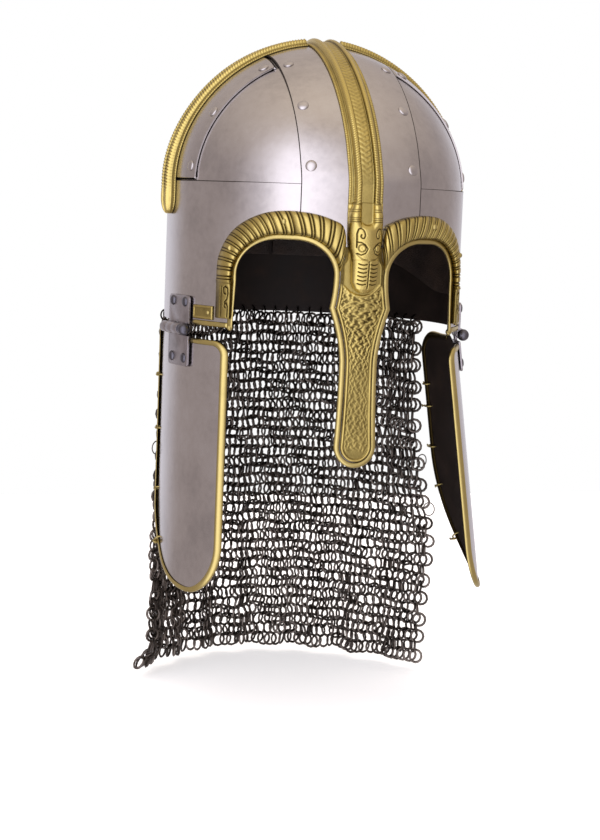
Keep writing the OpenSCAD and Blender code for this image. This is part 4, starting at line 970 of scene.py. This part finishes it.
small = turned("pin", [(0, 0.72), (0.6, 0.66), (1.1, 0.42), (1.45, 0.1), (1.5, 0), (0, 0)], 18)
places = []
at = strip_from + 0.24*(rim_to - strip_from)
for way in (1, -1):
    p, q = skin(way*at, STRIP_MIDDLE, 0.92), skin(way*at, STRIP_MIDDLE, 2.0)
    places.append(stand(p, q - p))
    for x, z, level in ((52, 72, 7.05), (81, 53, 5.85)):
        p, q = front_point(way*x, z, level), front_point(way*x, z, level + 1)
        places.append(stand(p, q - p) @ Matrix.Scale(1.2, 4))
pins = copies("brass_small_pins", small, places)
lustre(pins, 0.8)
fit(pins, binding_brass, "brass", "skull", "brass_rivets")

# Hinges: forged dark steel. The upper leaf is riveted to the brow band and carries two knuckles, the lower
# leaf one; a pin with a ball on its front end runs through them. The knuckles are round bar, drilled.
def forged_finish(name, low, middle, high):
    """Forged steel, brushed clean on the faces, with scale left in the hollows."""
    finish, shader, place = new_finish(name)
    clouds, grit = noise(place, 95, 5, 0.6), noise(place, 1100, 2)
    set_finish(shader, clouds * 0.8 + grit * 0.2, [(0.28, low), (0.5, middle), (0.75, high)],
        0.22 + clouds * 0.2 + grit * 0.06, clouds + grit * 0.5, 0.3, 0.0004)
    return finish


leaf_steel = forged_finish("leaf_steel", (0.24, 0.22, 0.225), (0.38, 0.355, 0.37), (0.48, 0.455, 0.47))
blued_steel = forged_finish("blued_steel", (0.06, 0.06, 0.07), (0.115, 0.112, 0.13), (0.2, 0.195, 0.22))


def from_node(node, name, edge):
    """A copy of a CAD node's mesh, merged, with its sharp edges eased."""
    piece = duplicate(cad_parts[node])
    for key in list(piece.keys()):
        del piece[key]
    piece.parent = None
    piece.name = piece.data.name = name
    edit(piece, merging(1e-6), (bpy.ops.mesh.dissolve_limited, {"angle_limit": math.radians(1)}))
    if edge:
        modify(piece, "BEVEL", width=edge*MM, segments=2, limit_method="ANGLE", angle_limit=math.radians(40))
    pick(piece)
    bpy.ops.object.shade_smooth_by_angle(angle=math.radians(32))
    return piece


for way in ("left", "right"):
    for node, name, edge, finish, body in (
            ("hinge_upper_" + way, "forged_upper_leaf_", 0.28, leaf_steel, "skull"),
            ("hinge_pin_" + way, "forged_pin_", 0, blued_steel, "skull"),
            ("hinge_lower_" + way, "forged_lower_leaf_", 0.28, leaf_steel, "cheek_" + way)):
        fit(from_node(node, name + way, edge), finish, "dark_steel", body, node)

foot = skin(HINGE_AT, 0, 0)
turn_z = math.atan2(-LONG*math.sin(math.radians(HINGE_AT)), -WIDE*math.cos(math.radians(HINGE_AT)))
at_hinge = shift(*foot) @ Matrix.Rotation(turn_z, 4, "Z")
SWING = {"left": math.radians(8), "right": 0.0}  # how far each cheek piece hangs out in the photo
PIN_OUT, PIN_Z = 4.1, -4.6  # the hinge pin's distance from the wall, and its height
RIVET_X, UPPER_Z, LOWER_Z = 9.8, 14.1, -24.6  # places of the hinge rivets


def swung(way):
    """Matrix that swings a cheek piece out about its hinge pin, on the wearer's left or right."""
    about = shift(0, PIN_OUT, PIN_Z)
    turn = at_hinge @ about @ Matrix.Rotation(SWING[way], 4, "X") @ about.inverted() @ at_hinge.inverted()
    return turn if way == "left" else Matrix.Scale(-1, 4, (1, 0, 0)) @ turn


head_shape = [(0, 1.7), (1.2, 1.66), (2.1, 1.5), (2.8, 1.15), (3.25, 0.62), (3.45, 0.15), (3.5, 0), (0, 0)]
outward = Matrix.Rotation(-math.pi/2, 4, "X")
upper, lower = ([at_hinge @ shift(x, 1.7, z) @ outward for x in (-RIVET_X, RIVET_X)]
    for z in (UPPER_Z, LOWER_Z))
flip = Matrix.Scale(-1, 4, (1, 0, 0))


def righted(piece):
    """Turns the faces of closed solids outwards after a flip."""
    edit(piece, FACES_OUT)
    return piece


heads = copies("forged_upper_rivets", turned("rivet", head_shape), upper + [flip @ place for place in upper])
fit(righted(heads), blued_steel, "dark_steel", "skull", "upper_hinge_rivets")
for way in ("left", "right"):
    heads = copies("forged_cheek_rivets_" + way, turned("rivet", head_shape),
        [swung(way) @ place for place in lower])
    fit(righted(heads), blued_steel, "dark_steel", "cheek_" + way, "cheek_rivets_" + way)

# Cheek pieces: steel plates bent to the same curve as the brow band, hanging from the lower leaves. The
# front edge is straight, and the rear edge runs in a long curve to the round tip.
FRONT_EDGE, REAR_EDGE = -76.2, 35
TOP_FRONT, TOP_REAR = -11, -7  # height of the top edge before and behind the hinge
# Round parts of the outline: y and z of the middle, and the half width and height of each.
FRONT_CORNER, REAR_CORNER = (-67.2, -20, 9, 9), (20, -22, 15, 15)
ROUND_TIP, REAR_CURVE = (-47, -150, 29.2, 36), (-47, -94, 82, 92)


def side_point(y, z, d):
    """Point on the upright wall at the wearer's left, at y and height z."""
    y, z, d = np.broadcast_arrays(np.asarray(y, float), z, d)
    return np.stack([(WIDE + d)*np.sqrt(1 - (y/(LONG + d))**2), y, z], -1)


def on_round(y, part, way):
    """Height of a round part of the outline at y, on its upper side (way 1) or its lower side (way -1)."""
    return part[1] + way*part[3]*hump(y - part[0], part[2])


y = -20.6 - 55.6*np.cos(np.linspace(0, math.pi, 74))  # from the front edge to the rear edge
top = np.where(y < -14, blend(TOP_FRONT, TOP_REAR, (y + 22)/8), TOP_REAR)
top = np.where(y < FRONT_CORNER[0], on_round(y, FRONT_CORNER, 1), top)
top = np.where(y > REAR_CORNER[0], on_round(y, REAR_CORNER, 1), top)
bottom = np.where(y < ROUND_TIP[0], on_round(y, ROUND_TIP, -1), on_round(y, REAR_CURVE, -1))
share = np.linspace(0, 1, 110)[:, None]
sheet = side_point(y, bottom + (top - bottom)*share, 0)
for way in ("left", "right"):
    plate = lay_out("steel_cheek_" + way, sheet)
    thicken(plate, PLATE)
    plate.data.transform(swung(way))
    fit(righted(plate), steel, "polished_steel", "cheek_" + way, "cheek_plate_" + way)

# Cheek bindings: the same folded brass strip, round each cheek piece from one side of the lower leaf to
# the other.
def arc_points(y, z, wide, tall, first, last, step):
    """Points of an elliptic arc about y, z, from one angle to another."""
    return on_arc(y, z, wide, tall, np.linspace(first, last, max(2, int(abs(last - first)/step))))


def side_stretch(y):
    c = np.sqrt(1 - (y/LONG)**2)
    return np.sqrt(1 + (WIDE/LONG*y/LONG/c)**2)


hinge_y = float(foot[1])
front_y = hinge_y - 16*math.sin(-turn_z) - 1
rear_y = hinge_y + 18.8
path = np.concatenate([
    [(y, TOP_FRONT) for y in np.linspace(front_y, -66, 6)], arc_points(*FRONT_CORNER, 90, 180, 9),
    [(FRONT_EDGE, z) for z in np.linspace(-24, -148, 36)], arc_points(*ROUND_TIP, 180, 266, 5),
    arc_points(*REAR_CURVE, 270, 360, 2.4), [(REAR_EDGE, z) for z in np.linspace(-90, -25, 20)],
    arc_points(*REAR_CORNER, 0, 90, 7), [(y, TOP_REAR) for y in np.linspace(18, rear_y, 10)]])
side = across_path(path, side_stretch)
behind = capped((path[:, 0] - 5)/20)
e, d = channel(np.full(len(path), -PLATE - 0.22), 0.22 + 1.7*behind, 1.6*behind)
section = side_point(path[:, 0:1] + side[:, 0:1]*e, path[:, 1:2] + side[:, 1:2]*e, d)
# The same tones round each binding: the inner leg on the inside of the cheek piece dark with painted shade.
for way in ("left", "right"):
    piece = closed("brass_cheek_binding_" + way, section, np.repeat(fold_wear_and_leg_shade[None, :], len(path), 0))
    piece.data.transform(swung(way))
    fit(righted(piece), binding_brass, "brass", "cheek_" + way, "cheek_binding_" + way)

# Wire ties: soft brass wire through holes beside the rear edge of each cheek piece. Each is a ring round
# the bound edge, wrapped three times where it closes, with its ends twisted and balled.
def tube(name, path, radius, sides=10, ring=False):
    """A round wire along a path of points, in millimetres."""
    path = np.asarray(path, float)
    step = (np.roll(path, -1, 0) - np.roll(path, 1, 0)) if ring else np.gradient(path, axis=0)
    step /= np.linalg.norm(step, axis=1)[:, None]
    axis = np.array([0.0, 0, 1]) if abs(step[0][2]) < 0.9 else np.array([1.0, 0, 0])
    u = np.cross(step[0], axis)
    frames = []
    for direction in step:
        u = u - direction*(u @ direction)
        u = u/np.linalg.norm(u)
        frames.append((u, np.cross(direction, u)))
    if ring:
        frames.append(frames[0])
        path = np.concatenate([path, path[:1]])
    a = 2*math.pi*np.arange(sides)/sides
    thick = np.broadcast_to(radius, len(path))
    points = np.stack([p + r*(np.cos(a)[:, None]*u + np.sin(a)[:, None]*v)
        for p, r, (u, v) in zip(path, thick, frames)])
    return closed(name, points, np.full(points.shape[:2], 0.75), caps=not ring)


def rear_edge(z):
    y, middle, wide, tall = REAR_CURVE
    return y + wide*math.sqrt(1 - max((middle - z)/tall, 0)**2)


def at_rear_edge(z, e):
    """Frame outside the rear edge at height z: X away from the plate, Z outward."""
    o = np.array([1, (rear_edge(z - 1) - rear_edge(z + 1))/2])
    o = o/np.linalg.norm(o)
    y, high = rear_edge(z) + o[0]*e, z + o[1]*e
    n = side_point(y, high, 1) - side_point(y, high, 0)
    return (shift(*side_point(y, high, -0.6)) @ Matrix.Rotation(math.atan2(n[1], n[0]), 4, "Z")
        @ Matrix.Rotation(math.pi/2, 4, "Y") @ Matrix.Rotation(math.pi/2 + math.atan2(o[1], o[0]), 4, "Z"))


TIE_RING, WRAP = 3.9, 1.12  # radius of a tie's ring, and of the wire wrapped round it


def wire_tie():
    """One tie: its ring, the wrap and the two twisted ends."""
    a = np.linspace(0, 2*math.pi, 33)[:-1]
    loop = tube("loop", np.stack([TIE_RING*np.cos(a), 0*a, TIE_RING*np.sin(a)], 1), 0.6, 10, ring=True)
    a = np.linspace(0, 6*math.pi, 60)
    lap = a/(6*math.pi)*0.75 + 0.25
    far = TIE_RING + WRAP*np.cos(a)
    wrap = tube("wrap", np.stack([far*np.cos(lap), WRAP*np.sin(a), far*np.sin(lap)], 1), 0.5, 8)
    ends = []
    for start in (0, math.pi):
        a = np.linspace(0, 2.6*math.pi, 28)
        grow = a/a[-1]
        x = 4.3 + 1.2*np.sin(grow*1.2) + 0.42*np.cos(a + start)*(1 - grow*0.4)
        y = 0.42*np.sin(a + start) + 0.3*grow
        z = 0.6 - 4.2*grow
        ends.append(tube("end", np.stack([x, y, z], 1), 0.42 + 0.36*capped((grow - 0.86)/0.08), 8))
    return join("tie", [loop, wrap] + ends)


for way, heights in (("left", (-45, -62, -93, -123, -160)), ("right", (-43, -82, -126, -161))):
    places = []
    for i, z in enumerate(heights):
        sway = Matrix.Rotation(0.35*math.sin(2.3*i + len(heights)), 4, "Y")
        places.append(swung(way) @ at_rear_edge(z, -1.2) @ sway)
    ties = copies("brass_wire_ties_" + way, wire_tie(), places)
    lustre(ties, 0.5)
    fit(righted(ties), binding_brass, "brass", "cheek_" + way, "cheek_ties_" + way)

# Mail curtain: steel rings, 8 mm inside, each through two above and two below it, hung from the rim by
# hanger rings. Here the rings are laid in rows by rule, in 1.9 mm wire: about two in three are linked so,
# and many cut into their neighbours. Rows lean to either side in turn.
mail_steel, shader, place = new_finish("mail_rings")
own = Wire.add(mail_steel.node_tree, "Attribute", {"attribute_name": "relief"}, {}, 2)
clouds, grit = noise(place, 50, 4, 0.6), noise(place, 1400, 2)
set_finish(shader, own * 0.5 + clouds * 0.4 + grit * 0.15, [(0.25, (0.022, 0.017, 0.013)),
    (0.5, (0.078, 0.066, 0.057)), (0.8, (0.23, 0.20, 0.175))], 0.22 + clouds * 0.16 + grit * 0.1)
MAIL_TOP, MAIL_FALL = -6.1, 261.9
MAIL_FROM, MAIL_TO = 109.5, 249  # plan angles of the curtain's front edges
FIRST_RING, RING_PITCH, PER_ROW, ROW_PITCH = 110.2454, 2.5092, 56, 7.55


def mail_point(t, z):
    """Point of the curtain's middle at plan angle t and height z."""
    u = np.clip((MAIL_TOP - z)/MAIL_FALL, 0, 1.05)
    left, right = mound(t - MAIL_FROM, 15), mound(MAIL_TO - t, 15)
    level = blend(-0.6, 5, 1.5*u)*(1 - 0.6*right) \
        + 3.6*np.sqrt(u)*u*(1 - 0.6*left - 0.6*right) \
        *np.cos(np.radians((t - 180)*8*360/(MAIL_TO - MAIL_FROM))) \
        + left*(12*mound(z/268 + 0.65, 0.2) + 9*u*u) + right*12*blend(0, 1, (u - 0.92)/0.08)
    return skin(t, z, level)


pick()
bpy.ops.mesh.primitive_torus_add(major_segments=12, minor_segments=4, major_radius=4.9*MM,
    minor_radius=0.95*MM)
ring = bpy.context.object
count = len(ring.data.vertices)
shape = np.empty(count*3)
ring.data.vertices.foreach_get("co", shape)
shape = shape.reshape(-1, 3)
faces = np.array([tuple(face.vertices) for face in ring.data.polygons])
bpy.data.objects.remove(ring)


def ring_cloth(name, rows):
    """Rings of the curtain's rows, each turned as it hangs, in one piece."""
    points, shades = [], []
    for row in rows:
        number = np.arange(PER_ROW)
        t = FIRST_RING + RING_PITCH*(number + (0.5 if row % 2 else 0)) + 0.9*mound(number, 3)
        t = t[:-1] if row % 2 else t
        t = t + luck.uniform(-0.22, 0.22, len(t)) + 0.16*np.sin(row*0.8 + t*0.11)
        z = -5.9 - ROW_PITCH*row + luck.uniform(-0.7, 0.7, len(t)) + 0.8*np.sin(t*0.31 + row*1.3)
        p = mail_point(t, z)
        along = mail_point(t + 0.6, z) - mail_point(t - 0.6, z)
        up = mail_point(t, z + 2) - mail_point(t, z - 2)
        along /= np.linalg.norm(along, axis=1)[:, None]
        up -= along*(up*along).sum(1)[:, None]
        up /= np.linalg.norm(up, axis=1)[:, None]
        out = np.cross(along, up)
        way = 35 + 8*np.sin(t*0.23 + row*0.9) + luck.uniform(-14, 14, len(t))
        lean = np.radians(way if row % 2 else -way)[:, None]
        tip = np.radians(luck.uniform(-13, 13, len(t)))[:, None]
        flat = along*np.cos(lean) + out*np.sin(lean)
        axis = -along*np.sin(lean) + out*np.cos(lean)
        up2, axis2 = up*np.cos(tip) + axis*np.sin(tip), axis*np.cos(tip) - up*np.sin(tip)
        basis = np.stack([flat, up2, axis2], 1)
        points.append((p*MM)[:, None, :] + np.einsum("vk,nkj->nvj", shape, basis))
        shades.append(np.repeat(luck.uniform(0.1, 0.9, len(t)), count))
    points = np.concatenate(points)
    mesh = bpy.data.meshes.new(name)
    links = (faces[None] + count*np.arange(len(points))[:, None, None]).reshape(-1, 4)
    mesh.from_pydata(points.reshape(-1, 3), [], links.tolist())
    layer = mesh.attributes.new("relief", "FLOAT", "POINT")
    layer.data.foreach_set("value", np.concatenate(shades))
    piece = new_object(name, mesh)
    pick(piece)
    bpy.ops.object.shade_smooth()
    return piece


for name, rows in (("mail_upper_rows", range(0, 18)), ("mail_lower_rows", range(18, 35))):
    fit(ring_cloth(name, rows), mail_steel, "mail", "skull", "mail_curtain")
a = np.linspace(0, 2*math.pi, 25)[:-1]
links = []
for t, z, across, lean in ((109.6, -108, 1, 0.6), (109.6, -146, 0.8, -0.5), (250.2, -98, 0.9, 0.6)):
    loop = np.stack([4.6*across*np.cos(a), 4.6*np.sin(lean)*np.cos(a), 5.0*np.sin(a)], 1)
    links.append(tube("link", loop + mail_point(t, z) + [1.5 if t < 180 else -1.5, 0, 0], 0.42, 8, ring=True))
links = join("mail_link_rings", links)
lustre(links, 0.6)
fit(links, mail_steel, "mail", "skull")
hangers = from_node("mail_hangers", "mail_hanger_rings", 0)
fit(hangers, mail_steel, "mail", "skull", "mail_hangers")

# Liner: a headband of thick leather inside the brow band, with eight petals that rise from it and are
# drawn together under the crown with a lace.
leather, shader, place = new_finish("liner_leather", 0)
clouds = noise(place, 45, 5, 0.6)
grain = place.new("TexVoronoi", {"Vector": place, "Scale": 900}, {"feature": "DISTANCE_TO_EDGE"})
set_finish(shader, clouds, [(0.3, (0.012, 0.007, 0.005)), (0.55, (0.028, 0.016, 0.010)),
    (0.8, (0.06, 0.035, 0.022))], 0.5 + clouds * 0.25, grain.clamp(0, 0.25) + clouds * 0.8, 0.5, 0.0005)


def liner_low(t):
    a = np.abs(t)
    return np.where(a < 90, blend(67, 23, (a - 46)/32), blend(23, 44, (a - 92)/40))


t = np.linspace(-179.2, 179.2, 240)[None, :]
share = np.linspace(0, 1, 16)[:, None]
strap = lay_out("leather_headband", skin(t, liner_low(t) + (86 - liner_low(t))*share, -1.5))
thicken(strap, 2.2, 0.5)
fit(strap, leather, "leather", "skull", "liner_headband")

def petal_at(u):
    """Height and level of the petals at share u of the way up."""
    return 72 + 97.5*np.sin(np.radians(90*u)), blend(-3.9, -17, 1.4*u)


petals = []
u = np.linspace(0, 0.93, 28)[:, None]
k = np.linspace(-1, 1, 17)[None, :]
z, level = petal_at(u)
half = 22.5*blend(0.94, 0.72, u)
for i in range(8):
    petals.append(lay_out("petal", skin(45*(i + 0.5) + half*k, z, level)))
    thicken(petals[-1], 1.6, 0.4)
petals = join("leather_petals", petals)
fit(petals, leather, "leather", "skull", "liner_petals")
z, level = petal_at(0.86)
lace = tube("leather_lace", skin(np.arange(0, 360, 4.0), z, level - 3.3), 1.4, 10, ring=True)
fit(lace, leather, "leather", "skull", "liner_lace")
